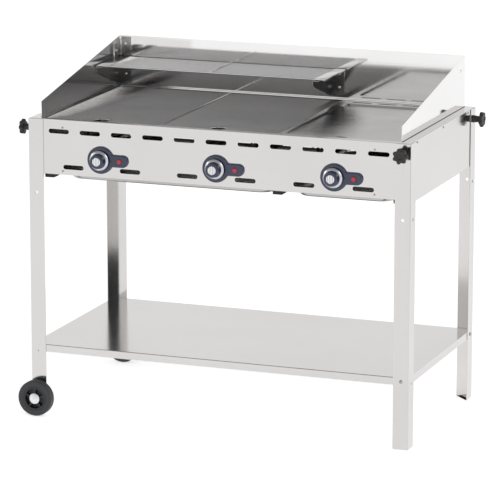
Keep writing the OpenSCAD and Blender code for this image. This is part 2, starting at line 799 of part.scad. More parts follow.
// Griddle: a thick plate with a sunk deck, a drain hole and vent slots along the back
module griddle() {
    top = rim_z - 1;
    back_band = 44;
    side = 9;
    vents = 4;
    vent_pitch = (insert_w - 40) / vents;
    mid = (insert_y0 + insert_y1) / 2;
    color("#a9abad") translate([zone_pitch, mid, 0]) difference() {
        translate([0, 0, insert_z0]) linear_extrude(top - insert_z0) round_rect(insert_w, insert_l, 6);
        translate([0, (side - back_band) / 2, top - deck_drop]) linear_extrude(deck_drop + 1)
            round_rect(insert_w - 2 * side, insert_l - side - back_band, 26);
        translate([-grip_shift, -insert_l / 2 + side + grip_d / 2 + 4, insert_z0 - 1])
            linear_extrude(20) slot_2d(grip_w, grip_d);
        for (i = [0:vents - 1])
            translate([(i - (vents - 1) / 2) * vent_pitch, insert_l / 2 - back_band / 2, insert_z0 - 1])
                linear_extrude(20) slot_2d(vent_pitch - 14, 9);
    }
}

corner_flange = 48;
shield_screw_y = shield_y - sheet_t - 38;
shield_screw_z = rim_z + shield_back_h * 0.73;

// Back of the wind shield, with a flange folded forward at each end
module shield_back() {
    flange_x = shield_x - sheet_t - 0.05;
    inner = shield_y - sheet_t;
    color(steel) {
        difference() {
            block([-shield_x, inner, shield_z0], [shield_x, shield_y, shield_top]);
            for (k = [0, 1], z = bracket_screw_z[k])
                translate([bracket_x[k] + bracket_flange / 2, 0, z]) along_y(4.4, inner - 1, shield_y + 1);
        }
        for (s = [0, 1]) mirror([s, 0, 0]) difference() {
            block([flange_x - sheet_t, inner - corner_flange, rim_z + 1], [flange_x, inner, shield_top - 12]);
            translate([0, shield_screw_y, shield_screw_z]) along_x(4.4, flange_x - sheet_t - 1, flange_x + 1);
        }
    }
}

// Sloping side panels of the wind shield
module shield_sides() {
    y0 = well_front + 0.5;
    y1 = shield_y - sheet_t;
    top = rim_z + shield_front_h;
    color(steel) for (s = [0, 1]) mirror([s, 0, 0]) difference() {
        translate([shield_x - sheet_t, 0, 0]) rotate([90, 0, 90]) linear_extrude(sheet_t)
            polygon([[y0, shield_z0], [y1, shield_z0], [y1, shield_top], [y0, top]]);
        translate([0, shield_screw_y, shield_screw_z]) along_x(4.4, shield_x - sheet_t - 1, shield_x + 1);
    }
}

// Screws with nuts: one through each shield corner and three through each bracket
module shield_screws() {
    inner = shield_y - sheet_t;
    color("silver") {
        for (s = [0, 1]) mirror([s, 0, 0]) translate([shield_x, shield_screw_y, shield_screw_z])
            rotate([0, 0, 90]) {
                pan_screw(4, 6.5);
                rotate([-90, 0, 0]) translate([0, 0, 2 * sheet_t + 0.1]) cylinder(d = 8, h = 3.2, $fn = 6);
            }
        for (k = [0, 1], z = bracket_screw_z[k])
            translate([bracket_x[k] + bracket_flange / 2, inner - bracket_t, z]) {
                pan_screw(4, bracket_t + sheet_t + 4);
                rotate([-90, 0, 0]) translate([0, 0, bracket_t + sheet_t]) cylinder(d = 8, h = 3.2, $fn = 6);
            }
    }
}

// Brackets on the shield's back that carry the rack
module rack_brackets() {
    inner = shield_y - sheet_t;
    low = rim_z + 6;
    tip = rack_y0 + 2;
    color(steel) for (k = [0, 1]) {
        x = bracket_x[k];
        translate([x - bracket_t / 2, 0, 0]) rotate([90, 0, 90]) linear_extrude(bracket_t)
            polygon([[inner, low], [inner, rack_z], [tip, rack_z], [tip, rack_z - 16], [inner - 16, low]]);
        block([x, tip, rack_z - bracket_t], [x + 18, inner - 10, rack_z]);
        difference() {
            block([x + bracket_t / 2, inner - bracket_t, low], [x + bracket_flange, inner, bracket_top[k]]);
            for (z = bracket_screw_z[k])
                translate([x + bracket_flange / 2, 0, z]) along_y(4.4, inner - bracket_t - 1, inner + 1);
        }
    }
}

// Warming rack: wires along X between two folded end plates, with a bar across the middle
module warming_rack() {
    n = floor((rack_d - 14) / rack_pitch);
    wire_z = rack_z + rest_gap + rack_wire_d / 2;
    top = wire_z + rack_wire_d / 2 + sheet_t;
    gap_y = (rack_d - 14) / n;
    color("#b4b6b8") {
        for (i = [0:n]) {
            extra = i == 0 || i == n ? 1 : 0;      // thicker first and last wires, flush below
            translate([0, rack_y0 + 7 + i * gap_y, wire_z + extra / 2])
                along_x(rack_wire_d + extra, rack_x0 + 4, rack_x1 - 4);
        }
        for (x = [rack_x0, rack_x1 - rack_end_w]) {
            block([x, rack_y0, top - sheet_t], [x + rack_end_w, rack_y1, top]);
            for (dx = [0, rack_end_w - sheet_t])
                block([x + dx, rack_y0, rack_z + rest_gap], [x + dx + sheet_t, rack_y1, top - sheet_t]);
        }
        translate([(rack_x0 + rack_x1) / 2, 0, wire_z + rack_wire_d - weld])
            along_y(rack_wire_d, rack_y0 + 3, rack_y1 - 3);
    }
}

pan_wall = 1;

// The closed outer shape of a pan: crowned bottom edge, sides that lean out to the rim
module pan_form(l, w, h, r) {
    hull() {
        linear_extrude(0.1) round_rect(l - 46, w - 46, r - 8);
        translate([0, 0, 3]) linear_extrude(0.1) round_rect(l - 34, w - 34, r - 3);
        translate([0, 0, 10]) linear_extrude(0.1) round_rect(l - 30, w - 30, r);
        translate([0, 0, h - 0.1]) linear_extrude(0.1) round_rect(l, w, r + 4);
    }
}

module pan(l, x) {
    body_l = l - 24;
    body_w = pan_w - 24;
    z0 = pan_rim_z - pan_h;
    color(steel) translate([x, 0, z0]) {
        difference() {
            pan_form(body_l, body_w, pan_h, 46, $fn = 40);
            translate([0, 0, pan_wall]) pan_form(body_l - 2 * pan_wall, body_w - 2 * pan_wall, pan_h, 45, $fn = 40);
        }
        translate([0, 0, pan_h - pan_wall]) linear_extrude(pan_wall) difference() {
            round_rect(l, pan_w, 30);
            round_rect(body_l - 2 * pan_wall, body_w - 2 * pan_wall, 49);
        }
    }
}

module pan_double() pan(pan_double_l, pan_double_x);
module pan_single() pan(pan_single_l, pan_single_x);

leg_front_right();
leg_rear_right();
leg_rear_left();
leg_front_left();
shelf();
front_panel();
rear_panel();
side_panel_left();
side_panel_right();
housing_screws();
side_rails();
front_rail();
rear_rail();
divider_rails();
pan_rails();
rubber_feet();
burner_left();
burner_middle();
burner_right();
burner_covers();
burner_bars();
gas_manifold();
gas_valves();
injectors();
thermocouples();
spark_electrodes();
bezels();
igniter_bodies();
wheel_axles();
grip_studs();
valve_stem_left();
valve_stem_middle();
valve_stem_right();
knob_left();
knob_middle();
knob_right();
dial_left();
dial_middle();
dial_right();
igniter_button_left();
igniter_button_middle();
igniter_button_right();
tyre_front();
tyre_rear();
wheel_front();
wheel_rear();
star_grip_front_right();
star_grip_rear_right();
star_grip_rear_left();
star_grip_front_left();
grid_left();
grid_middle();
griddle();
shield_back();
shield_sides();
shield_screws();
rack_brackets();
warming_rack();
pan_double();
pan_single();
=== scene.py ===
# Gas charbroiler on a wheeled stand, dressed over its fixed CAD frame
import json
import math

import bmesh
import bpy
from mathutils import Matrix, Vector


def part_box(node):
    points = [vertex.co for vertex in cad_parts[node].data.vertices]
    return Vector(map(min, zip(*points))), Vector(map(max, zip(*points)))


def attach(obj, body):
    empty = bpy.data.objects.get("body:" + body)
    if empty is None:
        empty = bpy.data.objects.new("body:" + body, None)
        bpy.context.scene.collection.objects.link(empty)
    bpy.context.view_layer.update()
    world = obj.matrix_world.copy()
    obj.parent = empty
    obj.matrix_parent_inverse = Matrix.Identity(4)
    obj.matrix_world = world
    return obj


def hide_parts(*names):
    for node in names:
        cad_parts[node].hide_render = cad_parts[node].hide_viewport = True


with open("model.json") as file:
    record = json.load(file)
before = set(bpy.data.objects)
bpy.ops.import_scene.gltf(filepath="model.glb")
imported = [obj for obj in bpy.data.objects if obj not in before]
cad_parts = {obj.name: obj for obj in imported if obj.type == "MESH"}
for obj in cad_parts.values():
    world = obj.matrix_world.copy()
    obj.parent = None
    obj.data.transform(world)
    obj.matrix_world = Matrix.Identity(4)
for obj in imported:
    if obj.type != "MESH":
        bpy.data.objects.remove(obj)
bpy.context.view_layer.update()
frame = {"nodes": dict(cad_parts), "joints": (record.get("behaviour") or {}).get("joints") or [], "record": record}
nodes = frame["nodes"]
bodyOf = {n: body for body, group in frame["record"]["behaviour"]["bodies"].items() for n in group}
slotOf = {part["node"]: part["material_slot"] for part in frame["record"]["subparts"]}
scene = bpy.context.scene
mm = 0.001
print("frame loaded:", len(nodes), "nodes")


# Node helpers
def feedNode(tree, node, inputs):
    # an input given another node's socket is linked, any other value is set
    for key, value in inputs.items():
        if isinstance(value, bpy.types.NodeSocket):
            tree.links.new(value, node.inputs[key])
        else:
            node.inputs[key].default_value = value


def addNode(tree, kind, inputs=None, **settings):
    node = tree.nodes.new(kind)
    for key, value in settings.items():
        setattr(node, key, value)
    feedNode(tree, node, inputs or {})
    return node


def groupShell(name, kind, inputs, outputs):
    tree = bpy.data.node_groups.new(name, kind)
    for label, socketKind, value in inputs:
        socket = tree.interface.new_socket(name=label, in_out="INPUT", socket_type=socketKind)
        if value is not None:
            socket.default_value = value
    for label, socketKind in outputs:
        tree.interface.new_socket(name=label, in_out="OUTPUT", socket_type=socketKind)
    return tree, addNode(tree, "NodeGroupInput").outputs, addNode(tree, "NodeGroupOutput")


# Studio
studio = {
    "cameraAt": (3.1875, -8.5729, 2.5095),
    "cameraTurn": (77.37, 0.0, 20.55),
    "lens": 247.2,
    "floorSize": 60.0,
    "sunStrength": 0.25,
    "sunTurn": (52.0, 0.0, 70.0),
    "sunSpread": 28.0,
    "roomDark": (0.05, 0.052, 0.06),
    "roomPale": (0.98, 0.975, 0.97),
    "roomTop": (0.36, 0.36, 0.365),
    "ceilingRise": (0.30, 0.58),    # the walls turn into the ceiling between these heights
    "patchEdge": (0.955, 0.985),    # cosines between which the dark patch fades in
    "floorTone": 0.93,
    "floorGlow": 0.58,
    "aim": (0.0, 0.0, 0.6),
}
softboxes = {
    "keyLight": {"at": (4.6, -3.0, 4.2), "size": (2.4, 2.4), "power": 45.0, "color": (1.0, 0.985, 0.96)},
    "fillLight": {"at": (-6.4, -1.0, 3.0), "size": (3.0, 2.0), "power": 45.0, "color": (0.97, 0.985, 1.0)},
}


def turned(degrees):
    return [math.radians(a) for a in degrees]


def aimedLight(name, look):
    data = bpy.data.lights.new(name, "AREA")
    data.shape = "RECTANGLE"
    data.size, data.size_y = look["size"]
    data.energy, data.color = look["power"], look["color"]
    lamp = bpy.data.objects.new(name, data)
    lamp.location = look["at"]
    lamp.rotation_euler = (Vector(studio["aim"]) - Vector(look["at"])).to_track_quat("-Z", "Y").to_euler()
    scene.collection.objects.link(lamp)


def buildRoom():
    # pale low walls all round, a dim ceiling, and one dark patch
    world = bpy.data.worlds.new("softRoom")
    scene.world = world
    world.use_nodes = True
    tree = world.node_tree
    toPatch = (Vector(studio["cameraAt"]) - Vector((0, 0, 0.5))).normalized()
    way = addNode(tree, "ShaderNodeTexCoord").outputs["Generated"]
    split = addNode(tree, "ShaderNodeSeparateXYZ", {0: way})
    facing = addNode(tree, "ShaderNodeVectorMath", {0: way, 1: toPatch}, operation="DOT_PRODUCT")

    def fade(value, edges):
        return addNode(tree, "ShaderNodeMapRange", {"Value": value, "From Min": edges[0], "From Max": edges[1]},
                       interpolation_type="SMOOTHSTEP").outputs[0]

    def mixed(factor, first, second):
        return addNode(tree, "ShaderNodeMix", {"Factor": factor, "A": first, "B": second},
                       data_type="RGBA").outputs["Result"]

    upper = mixed(fade(split.outputs["Z"], studio["ceilingRise"]), (*studio["roomPale"], 1), (*studio["roomTop"], 1))
    room = mixed(fade(facing.outputs["Value"], studio["patchEdge"]), upper, (*studio["roomDark"], 1))
    feedNode(tree, tree.nodes["Background"], {"Color": room, "Strength": 1.0})


def buildStudio():
    cam = bpy.data.cameras.new("camera")
    cam.lens, cam.sensor_width, cam.clip_end = studio["lens"], 36.0, 200.0
    view = bpy.data.objects.new("camera", cam)
    view.location = studio["cameraAt"]
    view.rotation_euler = turned(studio["cameraTurn"])
    scene.collection.objects.link(view)
    scene.camera = view
    scene.view_settings.view_transform = "Standard"

    for name, look in softboxes.items():
        aimedLight(name, look)
    sunData = bpy.data.lights.new("softSun", "SUN")
    sunData.energy, sunData.angle = studio["sunStrength"], math.radians(studio["sunSpread"])
    sun = bpy.data.objects.new("softSun", sunData)
    sun.rotation_euler = turned(studio["sunTurn"])
    scene.collection.objects.link(sun)
    buildRoom()

    bpy.ops.mesh.primitive_plane_add(size=studio["floorSize"], location=(0, 0, -0.0005))
    floor = bpy.context.object
    floor.name = "studioFloor"
    paint = bpy.data.materials.new("paleFloor")
    paint.use_nodes = True
    feedNode(paint.node_tree, paint.node_tree.nodes["Principled BSDF"], {
        "Base Color": (*[studio["floorTone"]] * 3, 1), "Roughness": 0.9, "Specular IOR Level": 0.1,
        "Emission Color": (1, 1, 1, 1), "Emission Strength": studio["floorGlow"]})
    floor.data.materials.append(paint)


buildStudio()
print("studio ready")


# Shader groups
def buildGrain():
    # fine parallel grinding lines over slow cloudy patches
    tree, given, result = groupShell(
        "sheetGrain", "ShaderNodeTree",
        [("Vector", "NodeSocketVector", None), ("Low Roughness", "NodeSocketFloat", 0.25),
         ("High Roughness", "NodeSocketFloat", 0.4), ("Bright", "NodeSocketColor", (0.8, 0.8, 0.8, 1)),
         ("Dim", "NodeSocketColor", (0.7, 0.7, 0.7, 1)), ("Cloud Size", "NodeSocketFloat", 3.0)],
        [("Color", "NodeSocketColor"), ("Roughness", "NodeSocketFloat"), ("Height", "NodeSocketFloat")])
    coords = addNode(tree, "ShaderNodeTexCoord")
    lines = addNode(tree, "ShaderNodeTexNoise", {"Vector": given["Vector"], "Scale": 1.0, "Detail": 4.0,
                                                 "Roughness": 0.65})
    clouds = addNode(tree, "ShaderNodeTexNoise", {"Vector": coords.outputs["Object"], "Scale": given["Cloud Size"],
                                                  "Detail": 3.0, "Roughness": 0.5})
    blend = addNode(tree, "ShaderNodeMath", {0: lines.outputs["Fac"], 1: 0.45, 2: clouds.outputs["Fac"]},
                    operation="MULTIPLY_ADD")
    total = addNode(tree, "ShaderNodeMapRange", {"Value": blend.outputs[0], "From Min": 0.35, "From Max": 0.95})
    tone = addNode(tree, "ShaderNodeMix", {"Factor": total.outputs[0], "A": given["Bright"], "B": given["Dim"]},
                   data_type="RGBA")
    rough = addNode(tree, "ShaderNodeMapRange", {"Value": lines.outputs["Fac"], "From Min": 0.3, "From Max": 0.75,
                                                 "To Min": given["Low Roughness"], "To Max": given["High Roughness"]})
    feedNode(tree, result, {"Color": tone.outputs["Result"], "Roughness": rough.outputs[0],
                            "Height": lines.outputs["Fac"]})
    return tree


def buildSpeckle():
    # small even pits and a slow tone change, for mouldings, castings and rubber
    tree, given, result = groupShell(
        "speckle", "ShaderNodeTree",
        [("Color", "NodeSocketColor", (0.1, 0.1, 0.1, 1)), ("Worn Color", "NodeSocketColor", (0.2, 0.2, 0.2, 1)),
         ("Grain Size", "NodeSocketFloat", 900.0), ("Worn", "NodeSocketFloat", 0.3),
         ("Low Roughness", "NodeSocketFloat", 0.4), ("High Roughness", "NodeSocketFloat", 0.6)],
        [("Color", "NodeSocketColor"), ("Roughness", "NodeSocketFloat"), ("Height", "NodeSocketFloat")])
    place = addNode(tree, "ShaderNodeTexCoord").outputs["Object"]
    fine = addNode(tree, "ShaderNodeTexNoise", {"Vector": place, "Scale": given["Grain Size"], "Detail": 2.0})
    slow = addNode(tree, "ShaderNodeTexNoise", {"Vector": place, "Scale": 14.0, "Detail": 5.0, "Roughness": 0.6})
    mask = addNode(tree, "ShaderNodeMapRange", {"Value": slow.outputs["Fac"], "From Min": 0.45, "From Max": 0.8})
    amount = addNode(tree, "ShaderNodeMath", {0: mask.outputs[0], 1: given["Worn"]}, operation="MULTIPLY")
    tone = addNode(tree, "ShaderNodeMix", {"Factor": amount.outputs[0], "A": given["Color"], "B": given["Worn Color"]},
                   data_type="RGBA")
    rough = addNode(tree, "ShaderNodeMapRange", {"Value": slow.outputs["Fac"], "From Min": 0.3, "From Max": 0.7,
                                                 "To Min": given["Low Roughness"], "To Max": given["High Roughness"]})
    feedNode(tree, result, {"Color": tone.outputs["Result"], "Roughness": rough.outputs[0],
                            "Height": fine.outputs["Fac"]})
    return tree


def buildInsideShadeMask():
    # 1 within the housing's walls, 0 on their outer faces; it marks where painted shade darkens the unlit inside
    tree, given, result = groupShell(
        "insideHousingShade", "ShaderNodeTree",
        [("Half Width", "NodeSocketFloat", 0.547), ("Half Depth", "NodeSocketFloat", 0.291),
         ("Top", "NodeSocketFloat", 0.822), ("Bottom", "NodeSocketFloat", -1.0)], [("Mask", "NodeSocketFloat")])
    place = addNode(tree, "ShaderNodeTexCoord").outputs["Object"]
    split = addNode(tree, "ShaderNodeSeparateXYZ", {0: place}).outputs
    mask = addNode(tree, "ShaderNodeMath", {0: split["Z"], 1: given["Bottom"]}, operation="GREATER_THAN")
    for axis, limit in (("X", "Half Width"), ("Y", "Half Depth"), ("Z", "Top")):
        size = addNode(tree, "ShaderNodeMath", {0: split[axis]}, operation="ABSOLUTE")
        test = addNode(tree, "ShaderNodeMath", {0: size.outputs[0], 1: given[limit]}, operation="LESS_THAN")
        mask = addNode(tree, "ShaderNodeMath", {0: mask.outputs[0], 1: test.outputs[0]}, operation="MULTIPLY")
    feedNode(tree, result, {0: mask.outputs[0]})
    return tree


grainGroup, speckleGroup, insideShadeGroup = buildGrain(), buildSpeckle(), buildInsideShadeMask()


def finishMaterial(name, metallic, bumpStrength, bumpDistance, feed, **constants):
    mat = bpy.data.materials.new(name)
    mat.use_nodes = True
    tree = mat.node_tree
    shader = tree.nodes["Principled BSDF"]
    group, color = feed(tree)
    bump = addNode(tree, "ShaderNodeBump", {"Height": group.outputs["Height"], "Strength": bumpStrength,
                                            "Distance": bumpDistance})
    feedNode(tree, shader, {"Metallic": metallic, "Base Color": color, "Roughness": group.outputs["Roughness"],
                            "Normal": bump.outputs[0]})
    feedNode(tree, shader, {key.replace("_", " "): value for key, value in constants.items()})
    return mat


def metal(name, along, bright, dim, low, high, bump=0.05, cloud=3.0, stretch=(2.5, 520.0), inner=None, above=-1.0):
    # along is the axis that the grinding lines follow; inner is a painted shade tone for the faces inside the housing
    # above a height
    scale = [stretch[1]] * 3
    scale["XYZ".index(along)] = stretch[0]

    def feed(tree):
        coords = addNode(tree, "ShaderNodeTexCoord")
        turn = addNode(tree, "ShaderNodeMapping", {"Vector": coords.outputs["Object"], "Scale": scale})
        group = addNode(tree, "ShaderNodeGroup", {
            "Vector": turn.outputs[0], "Bright": (*bright, 1), "Dim": (*dim, 1), "Low Roughness": low,
            "High Roughness": high, "Cloud Size": cloud}, node_tree=grainGroup)
        if not inner:
            return group, group.outputs["Color"]
        mask = addNode(tree, "ShaderNodeGroup", {"Bottom": above}, node_tree=insideShadeGroup)
        tone = addNode(tree, "ShaderNodeMix", {"Factor": mask.outputs[0], "A": group.outputs["Color"],
                                               "B": (*inner, 1)}, data_type="RGBA")
        return group, tone.outputs["Result"]

    return finishMaterial(name, 1.0, bump, 0.0004, feed)


def moulded(name, color, worn, size, amount, low, high, bump=0.1, **constants):
    def feed(tree):
        group = addNode(tree, "ShaderNodeGroup", {
            "Color": (*color, 1), "Worn Color": (*worn, 1), "Grain Size": size, "Worn": amount,
            "Low Roughness": low, "High Roughness": high}, node_tree=speckleGroup)
        return group, group.outputs["Color"]

    return finishMaterial(name, 0.0, bump, 0.0003, feed, **constants)


steelLook = {"bright": (0.65, 0.637, 0.628), "dim": (0.60, 0.588, 0.58), "low": 0.11, "high": 0.19, "bump": 0.02,
             "stretch": (1.5, 1300.0)}
mirrorLook = {"bright": (0.84, 0.835, 0.83), "dim": (0.78, 0.775, 0.77), "low": 0.05, "high": 0.10, "bump": 0.02}
satin = {axis: metal("satinSteel" + axis, axis, **steelLook) for axis in "XYZ"}
# housing panels: the faces inside the housing take a painted shade tone in place of their steel colour
housing = {axis: metal("housingSteelShadedInside" + axis, axis, inner=(0.075, 0.07, 0.066), **steelLook) for axis in "XY"}
mirror = {axis: metal("polishedSteel" + axis, axis, **mirrorLook) for axis in "XY"}
mats = {
    "wire": metal("wireSteel", "X", (0.46, 0.45, 0.445), (0.36, 0.355, 0.35), 0.14, 0.20, bump=0.03),
    "rackWire": metal("rackSteel", "X", (0.88, 0.875, 0.87), (0.80, 0.795, 0.79), 0.14, 0.22, bump=0.03),
    # grease pans: the faces inside the housing, above the rim height, take a painted shade tone
    "pan": metal("pressedSteelShadedInside", "X", (0.52, 0.515, 0.51), (0.42, 0.415, 0.41), 0.2, 0.3, bump=0.03,
                 inner=(0.09, 0.085, 0.08), above=0.689),
    "bracket": metal("bracketSteel", "Z", (0.40, 0.395, 0.39), (0.30, 0.295, 0.29), 0.14, 0.24, bump=0.03),
    "cap": metal("pressedCap", "Z", (0.84, 0.84, 0.84), (0.76, 0.76, 0.76), 0.42, 0.55, stretch=(80.0, 80.0)),
    "griddle": metal("griddlePlate", "X", (0.50, 0.49, 0.485), (0.36, 0.355, 0.35), 0.14, 0.30, cloud=7.0),
    "zinc": metal("zincPlate", "Z", (0.50, 0.50, 0.51), (0.36, 0.365, 0.375), 0.16, 0.28, stretch=(60.0, 60.0)),
    "screwBright": metal("brightScrew", "Z", (0.88, 0.88, 0.88), (0.78, 0.78, 0.79), 0.16, 0.26, stretch=(60.0, 60.0)),
    "pipe": metal("drawnTube", "Y", (0.40, 0.39, 0.38), (0.28, 0.275, 0.27), 0.3, 0.45),
    # burner steel: a little heat tint, darkened mostly as painted shade for the unlit inside seen through the slots
    "burner_steel": metal("heatTintAndShadeSteel", "Y", (0.11, 0.096, 0.082), (0.055, 0.052, 0.058), 0.35, 0.55, cloud=11.0),
    "brass": metal("turnedBrass", "Y", (0.76, 0.60, 0.30), (0.60, 0.45, 0.2), 0.22, 0.36),
    "dial": metal("silverDial", "Z", (0.66, 0.66, 0.68), (0.54, 0.54, 0.56), 0.28, 0.40, stretch=(90.0, 90.0)),
    "ceramic": moulded("glazedCeramic", (0.84, 0.82, 0.76), (0.70, 0.64, 0.55), 400.0, 0.4, 0.12, 0.25),
    "navy": moulded("navyMoulding", (0.018, 0.026, 0.062), (0.05, 0.06, 0.11), 700.0, 0.4, 0.2, 0.32,
                    bump=0.04, Coat_Weight=0.3, Coat_Roughness=0.12),
    "red": moulded("redButton", (0.44, 0.014, 0.04), (0.36, 0.02, 0.045), 700.0, 0.3, 0.22, 0.32, bump=0.03,
                   Coat_Weight=0.3, Coat_Roughness=0.1),
    "black_plastic": moulded("blackMoulding", (0.012, 0.012, 0.013), (0.05, 0.05, 0.052), 1200.0, 0.4, 0.38, 0.55),
    "rubber": moulded("blackRubber", (0.012, 0.012, 0.012), (0.05, 0.05, 0.05), 900.0, 0.5, 0.6, 0.8),
    "tyre": moulded("wheelRubber", (0.032, 0.034, 0.038), (0.075, 0.078, 0.082), 800.0, 0.5, 0.45, 0.65),
    "white": moulded("whiteInk", (0.88, 0.88, 0.88), (0.75, 0.75, 0.75), 900.0, 0.3, 0.4, 0.5, bump=0.02),
}
grainOf = {
    "leg_front_right": "Z", "leg_rear_right": "Z", "leg_rear_left": "Z", "leg_front_left": "Z",
    "side_panel_left": "Y", "side_panel_right": "Y", "side_rails": "Y", "divider_rails": "Y", "pan_rails": "Y",
    "rack_brackets": "Z",
}
finishOf = {
    "pan_double": mats["pan"], "pan_single": mats["pan"], "rack_brackets": mats["bracket"],
    "wheel_axles": mats["cap"], "burner_covers": mats["burner_steel"], "burner_bars": mats["burner_steel"],
    "shield_back": mirror["X"], "shield_sides": mirror["Y"],
}


def materialFor(node):
    if node in finishOf:
        return finishOf[node]
    if node.endswith(("_panel", "_rail", "_rails")) or node.startswith("side_panel"):
        return housing[grainOf.get(node, "X")]
    if slotOf[node] == "steel":
        return satin[grainOf.get(node, "X")]
    return mats[slotOf[node]]


for name, obj in nodes.items():
    obj.data.materials.clear()
    obj.data.materials.append(materialFor(name))
print("materials ready:", len(bpy.data.materials))


# Mesh helpers
def boxMm(node):
    low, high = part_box(node)
    return low / mm, high / mm


def linked(name, mesh, material):
    obj = bpy.data.objects.new(name, mesh)
    scene.collection.objects.link(obj)
    mesh.materials.clear()
    mesh.materials.append(material)
    return obj


def smoothByAngle(bm, angle=35.0):
    limit = math.radians(angle)
    for face in bm.faces:
        face.smooth = len(face.verts) < 5
    for edge in bm.edges:
        edge.smooth = len(edge.link_faces) == 2 and edge.calc_face_angle(0.0) < limit


def meshFrom(bm, name, angle=35.0):
    bmesh.ops.recalc_face_normals(bm, faces=bm.faces[:])
    smoothByAngle(bm, angle)
    mesh = bpy.data.meshes.new(name)
    bm.to_mesh(mesh)
    bm.free()
    return mesh


def install(obj, body, *replaced, slot=None):
    if replaced:
        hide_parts(*replaced)
    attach(obj, body)
    return obj


def addPiece(name, bm, material, node, angle=35.0):
    # a finished piece that stands for a CAD node
    return install(linked(name, meshFrom(bm, name, angle), mats[material]), bodyOf[node], node)


def merged(meshes):
    bm = bmesh.new()
    for mesh in meshes:
        bm.from_mesh(mesh)
    return bm


def absorb(bm, other):
    mesh = bpy.data.meshes.new("part")
    other.to_mesh(mesh)
    other.free()
    bm.from_mesh(mesh)


def joined(name, meshes, material, angle=35.0):
    bm = merged(meshes)
    smoothByAngle(bm, angle)
    mesh = bpy.data.meshes.new(name)
    bm.to_mesh(mesh)
    bm.free()
    return linked(name, mesh, mats[material])


def isFold(edge, limit):
    return len(edge.link_faces) == 2 and edge.calc_face_angle(0.0) > limit


def bevelSharp(bm, width, angle=40.0, wide=None):
    # eases the sharp edges; wide = (radius, least face width) rounds the folds between two broad faces more
    limit = math.radians(angle)
    shared = {"profile": 0.5, "affect": "EDGES", "clamp_overlap": True}
    if wide:
        folds = [e for e in bm.edges if isFold(e, limit) and e.is_convex and e.calc_length() > 4 * wide[0] * mm
                 and min(f.calc_area() / max(e.calc_length(), 1e-9) for f in e.link_faces) > wide[1] * mm]
        if folds:
            bmesh.ops.bevel(bm, geom=folds, offset=wide[0] * mm, segments=4, **shared)
    sharp = [e for e in bm.edges if isFold(e, limit)]
    if sharp:
        bmesh.ops.bevel(bm, geom=sharp, offset=width * mm, segments=2, **shared)


def cutAway(obj, tool):
    cut = obj.modifiers.new("cut", "BOOLEAN")
    cut.operation, cut.solver, cut.object = "DIFFERENCE", "EXACT", tool
    mesh = bpy.data.meshes.new_from_object(obj.evaluated_get(bpy.context.evaluated_depsgraph_get()))
    obj.modifiers.remove(cut)
    obj.data = mesh
    bpy.data.objects.remove(tool)


def loft(rings, closedEnds=True):
    # skins equal rings of points in millimetres; the ends are closed with flat faces
    bm = bmesh.new()
    loops = [[bm.verts.new([c * mm for c in p]) for p in ring] for ring in rings]
    n = len(loops[0])
    for lower, upper in zip(loops, loops[1:]):
        for i in range(n):
            bm.faces.new((lower[i], lower[(i + 1) % n], upper[(i + 1) % n], upper[i]))
    if closedEnds:
        bm.faces.new(loops[0][::-1])
        bm.faces.new(loops[-1])
    return bm


def around(count, radius, z):
    # radius is a number, or gives one for each angle
    points = []
    for i in range(count):
        a = 2 * math.pi * i / count
        r = radius(a) if callable(radius) else radius
        points.append((r * math.cos(a), r * math.sin(a), z))
    return points


def lathe(profile, sides=64):
    # profile is a list of (radius, height) about Z; a zero radius closes the shape
    bm = loft([around(sides, max(r, 0.01), z) for r, z in profile])
    bmesh.ops.remove_doubles(bm, verts=bm.verts[:], dist=3e-5)
    return bm


def latheRing(profile, sides=96):
    # a profile that comes back to its start turns into a ring with an open bore
    bm = lathe(profile + [profile[0]], sides)
    bmesh.ops.delete(bm, geom=[f for f in bm.faces if len(f.verts) > 20], context="FACES_ONLY")
    return bm


def roundRect(width, depth, radius, z, perCorner=8):
    points = []
    for cx, cy, start in ((1, 1, 0), (-1, 1, 90), (-1, -1, 180), (1, -1, 270)):
        for i in range(perCorner + 1):
            a = math.radians(start + 90.0 * i / perCorner)
            points.append((cx * (width / 2 - radius) + radius * math.cos(a),
                           cy * (depth / 2 - radius) + radius * math.sin(a), z))
    return points


def moved(bm, place, turn=None):
    bm.transform(Matrix.Translation(Vector(place) * mm) @ (turn or Matrix.Identity(4)))
    return bm


faceFront = Matrix.Rotation(math.radians(90), 4, "X")   # local Z points at the cook, along -Y


# Sheet metal: a merged copy of each plain CAD piece, cut edges eased and folds rounded
sheetStyle = {    # ease of the edges, radius of the folds, least width of the faces beside a fold
    "leg_front_right": (0.4, 2.2, 10), "leg_rear_right": (0.4, 2.2, 10), "leg_rear_left": (0.4, 2.2, 10),
    "leg_front_left": (0.4, 2.2, 10), "shelf": (0.35, 2.0, 10), "front_panel": (0.3, 1.6, 5),
    "rear_panel": (0.3, 0, 5), "side_panel_left": (0.3, 1.6, 5), "side_panel_right": (0.3, 1.6, 5),
    "side_rails": (0.3, 1.0, 5), "front_rail": (0.3, 1.0, 5), "rear_rail": (0.3, 1.2, 5),
    "divider_rails": (0.5, 0, 5), "pan_rails": (0.4, 0, 5), "rubber_feet": (1.2, 0, 5),
    "burner_covers": (0.3, 0, 5), "burner_bars": (0.3, 0, 5), "griddle": (0.9, 0, 5),
    "shield_back": (0.3, 1.2, 8), "shield_sides": (0.3, 0, 8), "rack_brackets": (0.3, 1.2, 8),
}
# turned, drawn and pressed pieces: eased ends only
roundStyle = {
    "burner_left": 0.6, "burner_middle": 0.6, "burner_right": 0.6, "gas_manifold": 0.6, "gas_valves": 0.5,
    "injectors": 0.3, "thermocouples": 0.25, "spark_electrodes": 0.25, "igniter_bodies": 0.5, "wheel_axles": 1.1,
    "grip_studs": 0.5, "valve_stem_left": 0.5, "valve_stem_middle": 0.5, "valve_stem_right": 0.5,
}


